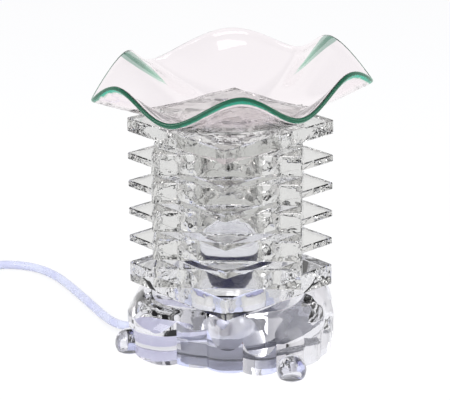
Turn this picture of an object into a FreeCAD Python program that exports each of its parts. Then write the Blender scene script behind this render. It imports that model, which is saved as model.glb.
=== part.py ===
# Electric wax melt warmer: a ruffled glass dish on a tower of stacked glass squares over a reflector lamp.
# Millimetres and degrees. The origin is on the tower's axis in the resting plane, +Z is up, -Y is the front.
import FreeCAD, Part
import math
import os
import Sketcher

Vector = FreeCAD.Vector

SIZES = {
    # tower of bonded glass squares, each turned an eighth of a turn from the next
    "square_side": 80.0,
    "bore_diameter": 58.0,
    "bottom_plate_thickness": 12.0,
    "spacer_thickness": 12.0,
    "thin_plate_thickness": 4.0,
    "top_plate_thickness": 8.0,
    "thin_plate_count": 4,
    "square_chamfer": 0.6,
    "tower_turn": -3.0,
    # pressed glass base
    "base_half_width": 56.0,
    "base_height": 29.5,
    "base_turn": -7.5,
    "flute_bulge": 2.0,
    "lobe_radius": 8.0,
    "lobe_standout": 5.0,
    "lobe_height": 4.0,
    "entry_turn": 162.0,
    "notch_width": 12.0,
    "notch_height": 8.6,
    # clear feet under the lobes
    "foot_diameter": 9.0,
    "foot_thickness": 1.5,
    # white cover that closes the base from below and carries the lamp holder
    "cover_clearance": 0.3,
    "cover_wall": 2.0,
    "cover_wall_height": 6.5,
    "cover_flange_width": 4.3,
    "cover_flange_thickness": 1.5,
    "cover_floor_thickness": 2.5,
    "vent_diameter": 4.0,
    "vent_reach": 17.5,
    # steel bracket, lamp holder and their screws
    "bracket_length": 49.0,
    "bracket_width": 12.0,
    "bracket_thickness": 1.0,
    "bracket_screw_reach": 20.5,
    "bracket_screw_diameter": 3.0,
    "bracket_head_diameter": 5.5,
    "bracket_head_height": 1.8,
    "holder_diameter": 28.0,
    "holder_height": 10.0,
    "collar_diameter": 46.0,
    "collar_bottom": 5.5,
    "collar_height": 15.5,
    "collar_bore": 27.0,
    "holder_screw_reach": 10.0,
    "holder_screw_diameter": 2.5,
    "holder_head_diameter": 4.6,
    "holder_head_height": 1.6,
    "counterbore_depth": 3.0,
    "screw_clearance": 0.15,
    "pin_reach": 5.0,
    "pin_diameter": 3.0,
    "pin_head_diameter": 5.0,
    "pin_length": 6.5,
    "pin_head_height": 2.5,
    "pin_clearance": 0.4,
    "keyhole_turn": 25.0,
    "keyhole_lip": 3.6,
    "keyhole_depth": 7.0,
    "contact_thickness": 0.7,
    "contact_sweep": 44.0,
    # reflector lamp
    "lamp_gap": 0.3,
    "lamp_diameter": 50.0,
    "lamp_height": 47.5,
    "lamp_base_radius": 12.5,
    "lamp_base_height": 14.0,
    "lamp_neck_radius": 9.5,
    "lamp_rim_height": 6.5,
    "lamp_bowl_radius": 42.0,
    "lamp_wall": 2.0,
    "lens_thickness": 2.2,
    "lens_clearance": 0.1,
    "capsule_radius": 4.5,
    "capsule_height": 22.0,
    # wires inside the base
    "cord_entry_height": 5.9,
    "cord_entry_offset": 20.5,
    "relief_start": 16.0,
    "relief_end": 40.0,
    "relief_width": 9.0,
    "relief_height": 6.0,
    "relief_tip_width": 7.6,
    "relief_tip_height": 5.9,
    "relief_clearance": 0.2,
    "lead_diameter": 2.0,
    "lead_spacing": 3.2,
    "lead_bend": 6.0,
    "lead_bend_start": -1.0,
    "lead_port_depth": 1.5,
    "crimp_diameter": 3.0,
    "crimp_length": 7.0,
    "crimp_clearance": 0.05,
    # glass dish
    "dish_thickness": 2.6,
    "dish_depth": 4.55,
    "dish_clearance": 0.6,
    "dish_crest_reach": 68.8,
    "dish_trough_reach": 74.7,
    "dish_crest_rise": 32.7,
    "dish_trough_rise": 17.6,
    "dish_lean": 3.16,
    "dish_lean_radius": 94.3,
    # cord
    "cord_diameter": 5.0,
    "coil_outer_radius": 42.0,
    "coil_pitch": 6.0,
    "coil_layer_pitch": 5.6,
    "coil_centre_x": -232.0,
    "coil_centre_y": -6.6,
    # inline dimmer
    "dimmer_length": 60.0,
    "dimmer_width": 26.0,
    "dimmer_height": 16.0,
    "dimmer_corner": 9.0,
    "dimmer_edge": 1.5,
    "dimmer_wall": 2.0,
    "dimmer_x": -168.0,
    "dimmer_y": 20.0,
    "dimmer_post_diameter": 6.0,
    "dimmer_post_reach": 20.0,
    "dimmer_screw_diameter": 2.5,
    "dimmer_screw_length": 9.0,
    "dimmer_head_diameter": 4.6,
    "dimmer_head_height": 1.5,
    "port_clearance": 0.1,
    "wheel_diameter": 26.0,
    "wheel_thickness": 5.0,
    "wheel_offset": 4.0,
    "wheel_clearance": 0.4,
    "wheel_groove_radius": 0.7,
    "wheel_groove_count": 24,
    "axle_diameter": 3.0,
    "axle_clearance": 0.05,
    "axle_socket": 1.0,
    "board_length": 22.0,
    "board_width": 15.0,
    "board_thickness": 1.6,
    "board_part_height": 1.2,
    # plug
    "plug_length": 30.0,
    "plug_width": 24.0,
    "plug_height": 13.0,
    "plug_neck_width": 13.0,
    "plug_neck_height": 9.0,
    "plug_neck_length": 11.0,
    "plug_corner": 2.5,
    "plug_x": -226.0,
    "plug_y": 66.0,
    "blade_length": 16.0,
    "blade_height": 6.3,
    "blade_thickness": 1.5,
    "blade_spacing": 12.7,
    "blade_hole_diameter": 3.0,
    "blade_hole_inset": 4.0,
    "overrun": 5.0,
}

# The base in plan: edges between its flutes as turn in degrees, share of the half width and share of the bulge.
FLUTE_SHARES = (
    (-128.0, 1.10, 1.35),
    (-115.6, 0.965, 1.0),
    (-97.0, 0.935, 2.0),
    (-76.2, 1.010, 2.25),
    (-59.2, 1.095, 0.75),
    (-43.9, 1.127, 0.9),
    (-28.8, 1.090, 1.0),
    (-8.3, 1.030, 0.75),
    (11.6, 1.008, 0.65),
    (29.3, 1.058, 0.75),
    (45.7, 1.113, 0.75),
    (58.6, 1.136, 1.0),
    (75.5, 1.074, 1.0),
    (94.5, 1.025, 1.0),
    (113.6, 1.063, 1.0),
    (130.3, 1.137, 0.75),
    (144.4, 1.137, 1.0),
    (160.1, 1.086, 1.0),
    (177.9, 1.018, 1.0),
    (196.7, 1.009, 1.0),
    (214.3, 1.070, 0.9),
)
# The base's round lobes: turn in degrees and share of their reach.
LOBE_SHARES = ((-149.2, 1.0), (-55.1, 1.148), (34.5, 0.86), (124.5, 1.04))
# The base's shoulder: the power of its superellipse, then shares of its height and of its half width.
SHOULDER_POWER = 3.2
SHOULDER_SHARES = (
    (0.0, 1.115),
    (0.21, 1.09),
    (0.345, 1.06),
    (0.45, 1.025),
    (0.55, 0.995),
    (0.66, 0.97),
    (0.776, 0.93),
    (0.88, 0.875),
    (0.96, 0.81),
    (1.0, 0.76),
)
SHOULDER_POINTS = 24
SOLVER_ROUNDS = 60

# The dish's rim, crest and trough by turns from the front: turn in degrees, shares added to reach and to rise.
RIM_FIRST_ANGLE = -90.0
RIM_SHARES = (
    (1.3, 0.007, -0.022),
    (-2.9, -0.026, -0.008),
    (-0.5, 0.004, -0.034),
    (0.4, -0.027, 0.038),
    (3.1, -0.070, 0.028),
    (2.4, -0.002, 0.130),
    (3.8, 0.004, 0.0),
    (6.9, 0.078, 0.020),
    (1.5, 0.026, -0.029),
    (0.7, 0.062, -0.058),
    (-0.8, 0.053, -0.039),
    (0.3, -0.010, 0.039),
)
RUFFLE_POWER = 1.5
# Rings of the dish: shares of the way from the seat to the rim, negative from the seat to the middle.
DISH_RING_SHARES = (-0.9, -0.6, -0.3, 0.0, 0.15, 0.3, 0.45, 0.6, 0.72, 0.82, 0.9)
LIP_ANGLES = (90, 45, 0, -45, -90)

# Free stretches of the cord, point by point: base to dimmer, dimmer to coil, coil to plug.
CORD_RUN = (
    (-44.4, -7.1, 5.9),
    (-56.4, -3.2, 5.9),
    (-65.0, 4.8, 4.4),
    (-72.0, 19.5, 2.6),
    (-79.8, 36.0, 2.5),
    (-88.3, 53.5, 2.5),
    (-97.2, 71.5, 2.5),
    (-106.5, 87.0, 2.5),
    (-119.0, 99.0, 2.5),
    (-136.0, 104.0, 2.5),
    (-153.0, 99.5, 2.5),
    (-164.5, 86.5, 4.8),
    (-168.0, 68.0, 8.0),
    (-168.0, 46.5, 8.0),
)
CORD_LINK = (
    (-168.0, -6.5, 8.0),
    (-168.0, -29.0, 7.6),
    (-180.4, -46.2, 3.6),
)
CORD_LEAD = (
    (-270.2, 35.0, 4.4),
    (-261.5, 54.0, 2.5),
    (-246.0, 66.0, 6.5),
    (-226.0, 66.0, 6.5),
)
COIL_LEAD_IN = 22.0
COIL_TURNS_IN = 2.5
COIL_TURNS_OUT = 2.25
COIL_STEP = 0.25
RUN_SHARE = 0.45

doc = FreeCAD.newDocument("wax_melt_warmer")
sheet = doc.addObject("Spreadsheet::Sheet", "Sizes")
for row, (alias, number) in enumerate(SIZES.items(), start=1):
    sheet.set(f"A{row}", alias)
    sheet.set(f"B{row}", str(number))
    sheet.setAlias(f"B{row}", alias)
doc.recompute()


class Size:
    """A number read from the sheet, with the expression that binds a property to it."""

    def __init__(self, value, text):
        self.value = value
        self.text = text

    def join(self, other, sign, value):
        text = other.text if isinstance(other, Size) else repr(other)
        return Size(value, f"({self.text} {sign} {text})")

    def __add__(self, other):
        return self.join(other, "+", self.value + plain(other))

    def __sub__(self, other):
        return self.join(other, "-", self.value - plain(other))

    def __mul__(self, other):
        return self.join(other, "*", self.value * plain(other))

    def __truediv__(self, other):
        return self.join(other, "/", self.value / plain(other))

    def __neg__(self):
        return Size(-self.value, f"(-1 * {self.text})")


def plain(number):
    return number.value if isinstance(number, Size) else number


def size(alias):
    return Size(float(sheet.get(alias)), f"Sizes.{alias}")


ZERO = Size(0.0, "0")
nodes = []


def keep(item, label):
    item.Label = label
    nodes.append(item)
    return item


def spare_name(label):
    return "".join(word.capitalize() for word in label.split("_"))


def place(item, at=(ZERO, ZERO, ZERO), turn=None, axis=(0, 0, 1)):
    rotation = FreeCAD.Rotation(Vector(*axis), plain(turn) if turn else 0)
    item.Placement = FreeCAD.Placement(Vector(*[plain(step) for step in at]), rotation)
    for letter, step in zip("xyz", at):
        if isinstance(step, Size):
            item.setExpression(f".Placement.Base.{letter}", step.text)
    return item


def primitive(kind, name, at=(ZERO, ZERO, ZERO), turn=None, axis=(0, 0, 1), **sizes):
    item = doc.addObject(f"Part::{kind}", name)
    for key, number in sizes.items():
        setattr(item, key, plain(number))
        if isinstance(number, Size):
            item.setExpression(key, number.text)
    return place(item, at, turn, axis)


def polar(radius, angle, height):
    """A place on a circle about the origin, at an angle in degrees."""
    turn = math.radians(angle)
    return (radius * math.cos(turn), radius * math.sin(turn), height)


def fuse(name, items):
    item = doc.addObject("Part::MultiFuse", name)
    item.Shapes = items
    return item


def group(name, items):
    item = doc.addObject("Part::Compound", name)
    item.Links = items
    return item


def cut(name, base, tools):
    item = doc.addObject("Part::Cut", name)
    item.Base = base
    item.Tool = tools[0] if len(tools) == 1 else fuse(f"{name}Tools", tools)
    return item


def formula(name, shape):
    item = doc.addObject("Part::Feature", name)
    item.Shape = shape
    return item


def new_body(label):
    return doc.addObject("PartDesign::Body", spare_name(label))


def sketch_on(body, role, name):
    sketch = body.newObject("Sketcher::SketchObject", name)
    plane = next(item for item in body.Origin.OriginFeatures if item.Role == role)
    sketch.AttachmentSupport = [(plane, "")]
    sketch.MapMode = "FlatFace"
    return sketch


def bind_datum(sketch, constraint, number):
    index = sketch.addConstraint(constraint)
    if isinstance(number, Size):
        sketch.setExpression(f"Constraints[{index}]", number.text)


def pin_point(sketch, geometry, point, across, up):
    """Ties a sketch point to the sketch's origin by its two distances."""
    for kind, axis, number in (("DistanceX", -2, across), ("DistanceY", -1, up)):
        if plain(number) == 0:
            sketch.addConstraint(Sketcher.Constraint("PointOnObject", geometry, point, axis))
        else:
            datum = Sketcher.Constraint(kind, -1, 1, geometry, point, plain(number))
            bind_datum(sketch, datum, number)


def bulged(start, end, radius, hand):
    """The arc of a given radius from start to end, bulging to the right of the way with hand 1, left with -1."""
    chord = end - start
    middle = (start + end) * 0.5
    side = Vector(chord.y, -chord.x, 0).normalize() * hand
    back = math.sqrt(radius**2 - chord.Length**2 / 4)
    return Part.Arc(start, middle + side * (radius - back), end)


def closed_outline(sketch, corners):
    """Draws a closed outline through corners of (across, up), or (across, up, radius, hand) for an arc to there."""
    spots = [Vector(plain(corner[0]), plain(corner[1]), 0) for corner in corners]
    count = len(corners)
    for index, corner in enumerate(corners):
        start = spots[index - 1]
        if len(corner) == 2:
            sketch.addGeometry(Part.LineSegment(start, spots[index]), False)
        else:
            arc = bulged(start, spots[index], plain(corner[2]), corner[3])
            sketch.addGeometry(arc, False)
    ends = []
    for index in range(count):
        first = sketch.getPoint(index, 1)
        ends.append((1, 2) if first.distanceToPoint(spots[index - 1]) < 1e-6 else (2, 1))
    for index, corner in enumerate(corners):
        after = (index + 1) % count
        joint = Sketcher.Constraint("Coincident", index, ends[index][1], after, ends[after][0])
        sketch.addConstraint(joint)
        pin_point(sketch, index, ends[index][1], corner[0], corner[1])
        if len(corner) == 4:
            bind_datum(sketch, Sketcher.Constraint("Radius", index, plain(corner[2])), corner[2])


def circle_in(sketch, radius, across=ZERO, up=ZERO):
    centre = Vector(plain(across), plain(up), 0)
    index = sketch.addGeometry(Part.Circle(centre, Vector(0, 0, 1), plain(radius)), False)
    pin_point(sketch, index, 3, across, up)
    bind_datum(sketch, Sketcher.Constraint("Radius", index, plain(radius)), radius)
    return index


def pad(body, sketch, length, name):
    feature = body.newObject("PartDesign::Pad", name)
    feature.Profile = sketch
    feature.Length = plain(length)
    feature.setExpression("Length", length.text)
    return feature


def dress(body, kind, name, base, edges, number):
    """A PartDesign chamfer or fillet on numbered edges of a feature."""
    feature = body.newObject(f"PartDesign::{kind}", name)
    feature.Base = (base, [f"Edge{index + 1}" for index in edges])
    key = "Size" if kind == "Chamfer" else "Radius"
    setattr(feature, key, plain(number))
    feature.setExpression(key, number.text)
    return feature


def turned(label, corners, level, turn=None):
    """A body made by turning a profile of (radius, height) corners about the upright axis."""
    body = new_body(label)
    sketch = sketch_on(body, "XZ_Plane", f"{body.Name}Profile")
    closed_outline(sketch, corners)
    doc.recompute()
    feature = body.newObject("PartDesign::Revolution", f"{body.Name}Turned")
    feature.Profile = sketch
    feature.ReferenceAxis = (sketch, ["V_Axis"])
    feature.Angle = 360
    return place(body, (ZERO, ZERO, level), turn)


# Levels, from the table up
base_bottom = size("foot_thickness")
base_top = base_bottom + size("base_height")
cover_bottom = base_bottom - size("cover_flange_thickness")
cover_floor = cover_bottom + size("cover_floor_thickness")
holder_bottom = cover_floor + size("bracket_thickness")
holder_top = holder_bottom + size("holder_height")
lamp_bottom = holder_top + size("lamp_gap")
bore_radius = size("bore_diameter") / 2
lobe_reach = size("base_half_width") + size("lobe_standout")
cover_radius = bore_radius - size("cover_clearance")
tower_turn = plain(size("tower_turn"))
base_turn = plain(size("base_turn"))
# The cord enters the base from its left rear; the lamp holder and its bracket are turned with it.
ENTRY_ANGLE = plain(size("entry_turn"))


def turned_by(angle, outwards, sideways, height):
    """A place given outwards at an angle in degrees and sideways from the axis, anticlockwise positive."""
    turn = math.radians(angle)
    across = outwards * math.cos(turn) - sideways * math.sin(turn)
    ahead = outwards * math.sin(turn) + sideways * math.cos(turn)
    return (across, ahead, height)


def along_entry(outwards, sideways, height):
    """A place given outwards along the cord's entry and sideways from it."""
    return turned_by(ENTRY_ANGLE, outwards, sideways, height)


# Tower


def glass_square(label, thickness, level, turn):
    """A square of glass with the tower's round bore and its edges eased."""
    body = new_body(label)
    outline = sketch_on(body, "XY_Plane", f"{body.Name}Outline")
    half = size("square_side") / 2
    closed_outline(outline, [(-half, -half), (half, -half), (half, half), (-half, half)])
    circle_in(outline, bore_radius)
    block = pad(body, outline, thickness, f"{body.Name}Block")
    doc.recompute()
    straight = [i for i, edge in enumerate(block.Shape.Edges) if isinstance(edge.Curve, Part.Line)]
    dress(body, "Chamfer", f"{body.Name}Eased", block, straight, size("square_chamfer"))
    place(body, (ZERO, ZERO, level), turn)
    return keep(body, label)


def build_tower():
    """Stacks corner-on plates and face-on spacers in turn, and gives the level of the tower's top."""
    corner_on = tower_turn + 45
    thin = size("thin_plate_thickness")
    spacer = size("spacer_thickness")
    level = base_top
    glass_square("bottom_plate", size("bottom_plate_thickness"), level, corner_on)
    level = level + size("bottom_plate_thickness")
    count = int(plain(size("thin_plate_count")))
    for number in range(1, count + 1):
        glass_square(f"spacer_block_{number}", spacer, level, tower_turn)
        level = level + spacer
        glass_square(f"thin_plate_{number}", thin, level, corner_on)
        level = level + thin
    glass_square(f"spacer_block_{count + 1}", spacer, level, tower_turn)
    level = level + spacer
    glass_square("top_plate", size("top_plate_thickness"), level, corner_on)
    return level + size("top_plate_thickness")


# Base


def closed_poles(spots):
    """Poles of the evenly spaced closed cubic curve through the points."""
    poles = list(spots)
    for _ in range(SOLVER_ROUNDS):
        for index, spot in enumerate(spots):
            after = poles[(index + 1) % len(spots)]
            poles[index] = (spot * 6 - poles[index - 1] - after) * 0.25
    return poles


def closed_curve(spots):
    count = len(spots)
    curve = Part.BSplineCurve()
    curve.buildFromPolesMultsKnots(closed_poles(spots), [1] * (count + 1), list(range(count + 1)), True, 3)
    return Part.Wire(curve.toShape())


def fluted_outline():
    """The skirt in plan: convex flutes side by side, wider or flatter from one to the next as hand-pressed glass is."""
    half_width = plain(size("base_half_width"))
    spots = []
    for turn, share, _ in FLUTE_SHARES:
        spots.append(Vector(*polar(half_width * share, turn, 0)))
    edges = []
    for index, start in enumerate(spots):
        end = spots[(index + 1) % len(spots)]
        bulge = plain(size("flute_bulge")) * FLUTE_SHARES[index][2]
        middle = (start + end) * 0.5
        outwards = Vector(end.y - start.y, start.x - end.x, 0).normalize()
        edges.append(Part.Arc(start, middle + outwards * bulge, end).toShape())
    return Part.Face(Part.Wire(edges))


def superellipse(half_width, height):
    spots = []
    for step in range(SHOULDER_POINTS):
        angle = 2 * math.pi * step / SHOULDER_POINTS
        across = abs(math.cos(angle)) ** SHOULDER_POWER + abs(math.sin(angle)) ** SHOULDER_POWER
        reach = half_width / across ** (1 / SHOULDER_POWER)
        spots.append(Vector(reach * math.cos(angle), reach * math.sin(angle), height))
    return closed_curve(spots)


def build_base():
    """The pressed glass base: a fluted skirt under a rounded shoulder, four round lobes, the bore and a notch."""
    skirt = doc.addObject("Part::Extrusion", "BaseSkirt")
    skirt.Base = formula("BaseOutline", fluted_outline())
    skirt.DirMode = "Custom"
    skirt.Dir = Vector(0, 0, 1)
    skirt.Solid = True
    skirt.LengthFwd = plain(size("base_height"))
    skirt.setExpression("LengthFwd", size("base_height").text)
    half_width = plain(size("base_half_width"))
    height = plain(size("base_height"))
    rings = []
    for number, (height_share, width_share) in enumerate(SHOULDER_SHARES):
        ring = superellipse(half_width * width_share, height * height_share)
        rings.append(formula(f"ShoulderRing{number}", ring))
    shoulder = doc.addObject("Part::Loft", "BaseShoulder")
    shoulder.Sections = rings
    shoulder.Solid = True
    block = doc.addObject("Part::MultiCommon", "BaseCushion")
    block.Shapes = [skirt, shoulder]
    lobes = []
    for number, (turn, share) in enumerate(LOBE_SHARES):
        at = polar(lobe_reach * share, turn, size("lobe_height"))
        lobes.append(primitive("Sphere", f"BaseLobe{number}", at, Radius=size("lobe_radius")))
    glass = fuse("BaseGlass", [block, *lobes])
    over = size("overrun")
    under = primitive(
        "Cylinder", "BaseUnderside", (ZERO, ZERO, -over - size("lobe_radius")),
        Radius=lobe_reach + size("lobe_radius") * 3, Height=over + size("lobe_radius"),
    )
    bore = primitive("Cylinder", "BaseBore", (ZERO, ZERO, -over), Radius=bore_radius, Height=size("base_height") + over * 2)
    width = size("notch_width")
    reach = size("base_half_width") + size("lobe_radius")
    turn = ENTRY_ANGLE - base_turn
    sideways = size("cord_entry_offset") - width / 2
    at = turned_by(turn, ZERO, sideways, -over)
    notch = primitive(
        "Box", "BaseNotch", at, turn, Length=reach, Width=width, Height=size("notch_height") + over,
    )
    base = cut("BaseBlock", glass, [under, bore, notch])
    place(base, (ZERO, ZERO, base_bottom), base_turn)
    return keep(base, "base_block")


def build_feet():
    feet = []
    for number, (turn, share) in enumerate(LOBE_SHARES):
        at = polar(lobe_reach * share, base_turn + turn, ZERO)
        thickness = size("foot_thickness")
        feet.append(primitive("Cylinder", f"Foot{number}", at, Radius=size("foot_diameter") / 2, Height=thickness))
    return keep(group("FootPads", feet), "foot_pads")


# Cover, bracket, holder and lamp


def build_cover():
    """A white cup in the base's bore with a flange under the glass, vents, screw holes and the cord's opening."""
    flange = size("cover_flange_thickness")
    inner = cover_radius - size("cover_wall")
    outer = bore_radius + size("cover_flange_width")
    floor = size("cover_floor_thickness")
    rim = flange + size("cover_wall_height")
    profile = [(ZERO, ZERO), (outer, ZERO), (outer, flange), (cover_radius, flange)]
    profile += [(cover_radius, rim), (inner, rim), (inner, floor), (ZERO, floor)]
    cup = turned("cover_cup", profile, cover_bottom)
    over = size("overrun")
    tools = []
    for number in range(8):
        at = polar(size("vent_reach"), ENTRY_ANGLE + 22.5 + 45 * number, cover_bottom - over)
        radius = size("vent_diameter") / 2
        tools.append(primitive("Cylinder", f"CoverVent{number}", at, Radius=radius, Height=floor + over * 2))
    for number in range(2):
        at = polar(size("bracket_screw_reach"), ENTRY_ANGLE + 180 * number, cover_bottom - over)
        radius = size("bracket_screw_diameter") / 2 + size("screw_clearance")
        tools.append(primitive("Cylinder", f"CoverScrewHole{number}", at, Radius=radius, Height=floor + over * 2))
    for number in range(2):
        at = polar(size("holder_screw_reach"), ENTRY_ANGLE + 90 + 180 * number, cover_bottom - over)
        radius = size("holder_screw_diameter") / 2 + size("screw_clearance")
        tools.append(primitive("Cylinder", f"CoverHolderHole{number}", at, Radius=radius, Height=floor + over * 2))
    clearance = size("relief_clearance")
    width = size("relief_width") + clearance * 2
    inwards = size("relief_start") / 2
    at = along_entry(inwards, size("cord_entry_offset") - width / 2, cover_floor)
    opening = size("cord_entry_height") + size("relief_height") / 2 + clearance - cover_floor
    length = bore_radius + over - inwards
    tools.append(primitive("Box", "CoverCordOpening", at, ENTRY_ANGLE, Length=length, Width=width, Height=opening))
    return keep(cut("BottomCover", cup, tools), "bottom_cover")


def screw_set(label, reach, first_angle, diameter, head_diameter, head_height, seat, tip):
    """Two screws on opposite sides of the axis: a shank from tip up to seat, and a head above it."""
    screws = []
    for number in range(2):
        shank_at = polar(reach, first_angle + 180 * number, tip)
        head_at = polar(reach, first_angle + 180 * number, seat)
        name = f"{spare_name(label)}{number}"
        shank = primitive("Cylinder", f"{name}Shank", shank_at, Radius=diameter / 2, Height=seat - tip)
        head = primitive("Cylinder", f"{name}Head", head_at, Radius=head_diameter / 2, Height=head_height)
        screws.append(fuse(name, [shank, head]))
    return keep(group(f"{spare_name(label)}Set", screws), label)


def build_bracket():
    """A flat steel strap across the cover's floor, under the lamp holder."""
    length = size("bracket_length")
    width = size("bracket_width")
    thickness = size("bracket_thickness")
    at = along_entry(-length / 2, -width / 2, cover_floor)
    strap = primitive("Box", "BracketStrap", at, ENTRY_ANGLE, Length=length, Width=width, Height=thickness)
    pad_radius = size("holder_screw_reach") + size("holder_head_diameter") / 2
    middle = primitive("Cylinder", "BracketMiddle", (ZERO, ZERO, cover_floor), Radius=pad_radius, Height=thickness)
    holes = []
    over = size("overrun")
    for number in range(2):
        at = polar(size("bracket_screw_reach"), ENTRY_ANGLE + 180 * number, cover_floor - over)
        radius = size("bracket_screw_diameter") / 2 + size("screw_clearance")
        holes.append(primitive("Cylinder", f"BracketEndHole{number}", at, Radius=radius, Height=over * 3))
        at = polar(size("holder_screw_reach"), ENTRY_ANGLE + 90 + 180 * number, cover_floor - over)
        radius = size("holder_screw_diameter") / 2 + size("screw_clearance")
        holes.append(primitive("Cylinder", f"BracketHolderHole{number}", at, Radius=radius, Height=over * 3))
    plate = fuse("BracketPlate", [strap, middle])
    return keep(cut("HolderBracket", plate, holes), "holder_bracket")


def arc_slot(name, start, sweep, inner_radius, outer_radius, bottom, height):
    """A piece of a ring about the holder's axis, from a start angle through a sweep."""
    outer = primitive("Cylinder", f"{name}Outer", (ZERO, ZERO, bottom), start, Radius=outer_radius, Height=height)
    outer.Angle = sweep
    over = size("overrun")
    inner = primitive(
        "Cylinder", f"{name}Inner", (ZERO, ZERO, bottom - over), Radius=inner_radius, Height=height + over * 2,
    )
    return cut(name, outer, [inner])


def build_holder():
    """The white holder: keyholes for the pins, counterbored screws, wire ports and a collar round the lamp's base."""
    stem = size("holder_diameter") / 2
    collar = size("collar_diameter") / 2
    collar_bore = size("collar_bore") / 2
    low = size("collar_bottom")
    top = size("collar_height")
    seat = size("holder_height")
    profile = [(ZERO, ZERO), (stem, ZERO), (stem, low), (collar, low), (collar, top)]
    profile += [(collar_bore, top), (collar_bore, seat), (ZERO, seat)]
    block = turned("holder_block", profile, holder_bottom)
    over = size("overrun")
    reach = size("pin_reach")
    head_room = size("pin_head_diameter") / 2 + size("pin_clearance")
    neck_room = size("pin_diameter") / 2 + size("pin_clearance")
    turn = plain(size("keyhole_turn"))
    spare_turn = math.degrees(math.asin(plain(neck_room) / plain(reach)))
    lip_bottom = holder_top - size("keyhole_lip")
    chamber_bottom = holder_top - size("keyhole_depth")
    depth = size("keyhole_depth") - size("keyhole_lip")
    neck_height = size("keyhole_lip") + over
    tools = [arc_slot("PinChamber", 0, 360, reach - head_room, reach + head_room, chamber_bottom, depth)]
    for number in range(2):
        start = ENTRY_ANGLE + 180 * number
        necks = (reach - neck_room, reach + neck_room)
        tools.append(arc_slot(f"Neck{number}", start - spare_turn, turn + spare_turn, *necks, lip_bottom, neck_height))
        at = polar(reach, start + turn, lip_bottom)
        tools.append(primitive("Cylinder", f"Entry{number}", at, Radius=head_room, Height=neck_height))
    for number in range(2):
        angle = ENTRY_ANGLE + 90 + 180 * number
        radius = size("holder_screw_diameter") / 2 + size("screw_clearance")
        at = polar(size("holder_screw_reach"), angle, holder_bottom - over)
        height = size("holder_height") + over * 2
        tools.append(primitive("Cylinder", f"HolderHole{number}", at, Radius=radius, Height=height))
        at = polar(size("holder_screw_reach"), angle, holder_top - size("counterbore_depth"))
        radius = size("holder_head_diameter") / 2 + size("screw_clearance")
        height = size("counterbore_depth") + over
        tools.append(primitive("Cylinder", f"Counterbore{number}", at, Radius=radius, Height=height))
    for number, outwards in enumerate(lead_places()):
        inwards = lead_end_sideways(outwards) - size("lead_port_depth")
        at = along_entry(outwards, inwards, size("cord_entry_height"))
        radius = size("lead_diameter") / 2 + size("screw_clearance")
        port = primitive("Cylinder", f"WirePort{number}", Radius=radius, Height=size("lead_port_depth") + over)
        lay_along(port, at, ENTRY_ANGLE + 90)
        tools.append(port)
    keep(cut("LampHolder", block, tools), "lamp_holder")
    contacts = []
    sweep = plain(size("contact_sweep"))
    for number in range(2):
        start = ENTRY_ANGLE + 180 * number - sweep / 2
        radii = (reach - size("pin_head_diameter") / 2, reach + size("pin_head_diameter") / 2)
        thickness = size("contact_thickness")
        contacts.append(arc_slot(f"Contact{number}", start, sweep, *radii, chamber_bottom, thickness))
    return keep(group("HolderContacts", contacts), "holder_contacts")


def lay_along(item, at, angle):
    """Places an upright primitive so that its height runs level, towards an angle in degrees."""
    place(item, at)
    level = FreeCAD.Rotation(Vector(0, 1, 0), 90)
    around = FreeCAD.Rotation(Vector(0, 0, 1), angle)
    item.Placement = FreeCAD.Placement(item.Placement.Base, around.multiply(level))
    return item


def lead_places():
    """How far outwards each of the two leads turns in to the holder."""
    start = size("lead_bend_start")
    bend = size("lead_bend")
    return [start - bend, start - bend - size("lead_spacing")]


def lead_end_sideways(outwards):
    """How far sideways the holder's wall lies at a place outwards."""
    radius = size("holder_diameter") / 2
    reach = math.sqrt(radius.value**2 - outwards.value**2)
    return Size(reach, repr(reach))


def rounded_path(points, share=RUN_SHARE):
    """Straight runs joined by arcs as large as the runs allow. Gives the edges, the length and the arcs' radii."""
    spots = [Vector(*point) for point in points]
    edges = []
    radii = []
    length = 0
    start = spots[0]
    for before, corner, after in zip(spots, spots[1:], spots[2:]):
        into = (corner - before).normalize()
        out = (after - corner).normalize()
        turn = into.getAngle(out)
        reach = share * min((corner - before).Length, (after - corner).Length)
        radius = reach / math.tan(turn / 2)
        first = corner - into * reach
        last = corner + out * reach
        inwards = (out - into).normalize()
        crown = corner + inwards * (radius / math.cos(turn / 2) - radius)
        edges.append(Part.LineSegment(start, first).toShape())
        edges.append(Part.Arc(first, crown, last).toShape())
        length += (first - start).Length + radius * turn
        radii.append(radius)
        start = last
    edges.append(Part.LineSegment(start, spots[-1]).toShape())
    length += (spots[-1] - start).Length
    return edges, length, radii


def sweep_round(edges, diameter):
    """A solid round tube along joined edges."""
    path = Part.Wire(edges)
    start = edges[0].firstVertex().Point
    heading = edges[0].tangentAt(edges[0].FirstParameter)
    ring = Part.Wire(Part.makeCircle(diameter / 2, start, heading))
    return path.makePipeShell([ring], True, False)


def tube(name, label, points, diameter, share=RUN_SHARE):
    """A tube node along a route, with its least bend and its volume against its section times its length."""
    edges, length, radii = rounded_path(points, share)
    solid = sweep_round(edges, diameter)
    ideal = math.pi * diameter**2 / 4 * length
    bends = " ".join(f"{radius:.1f}" for radius in radii)
    print(f"{label}: {length:.1f} long, bend radii {bends}, volume {solid.Volume:.1f} of {ideal:.1f}")
    return keep(formula(name, solid), label)


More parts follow.
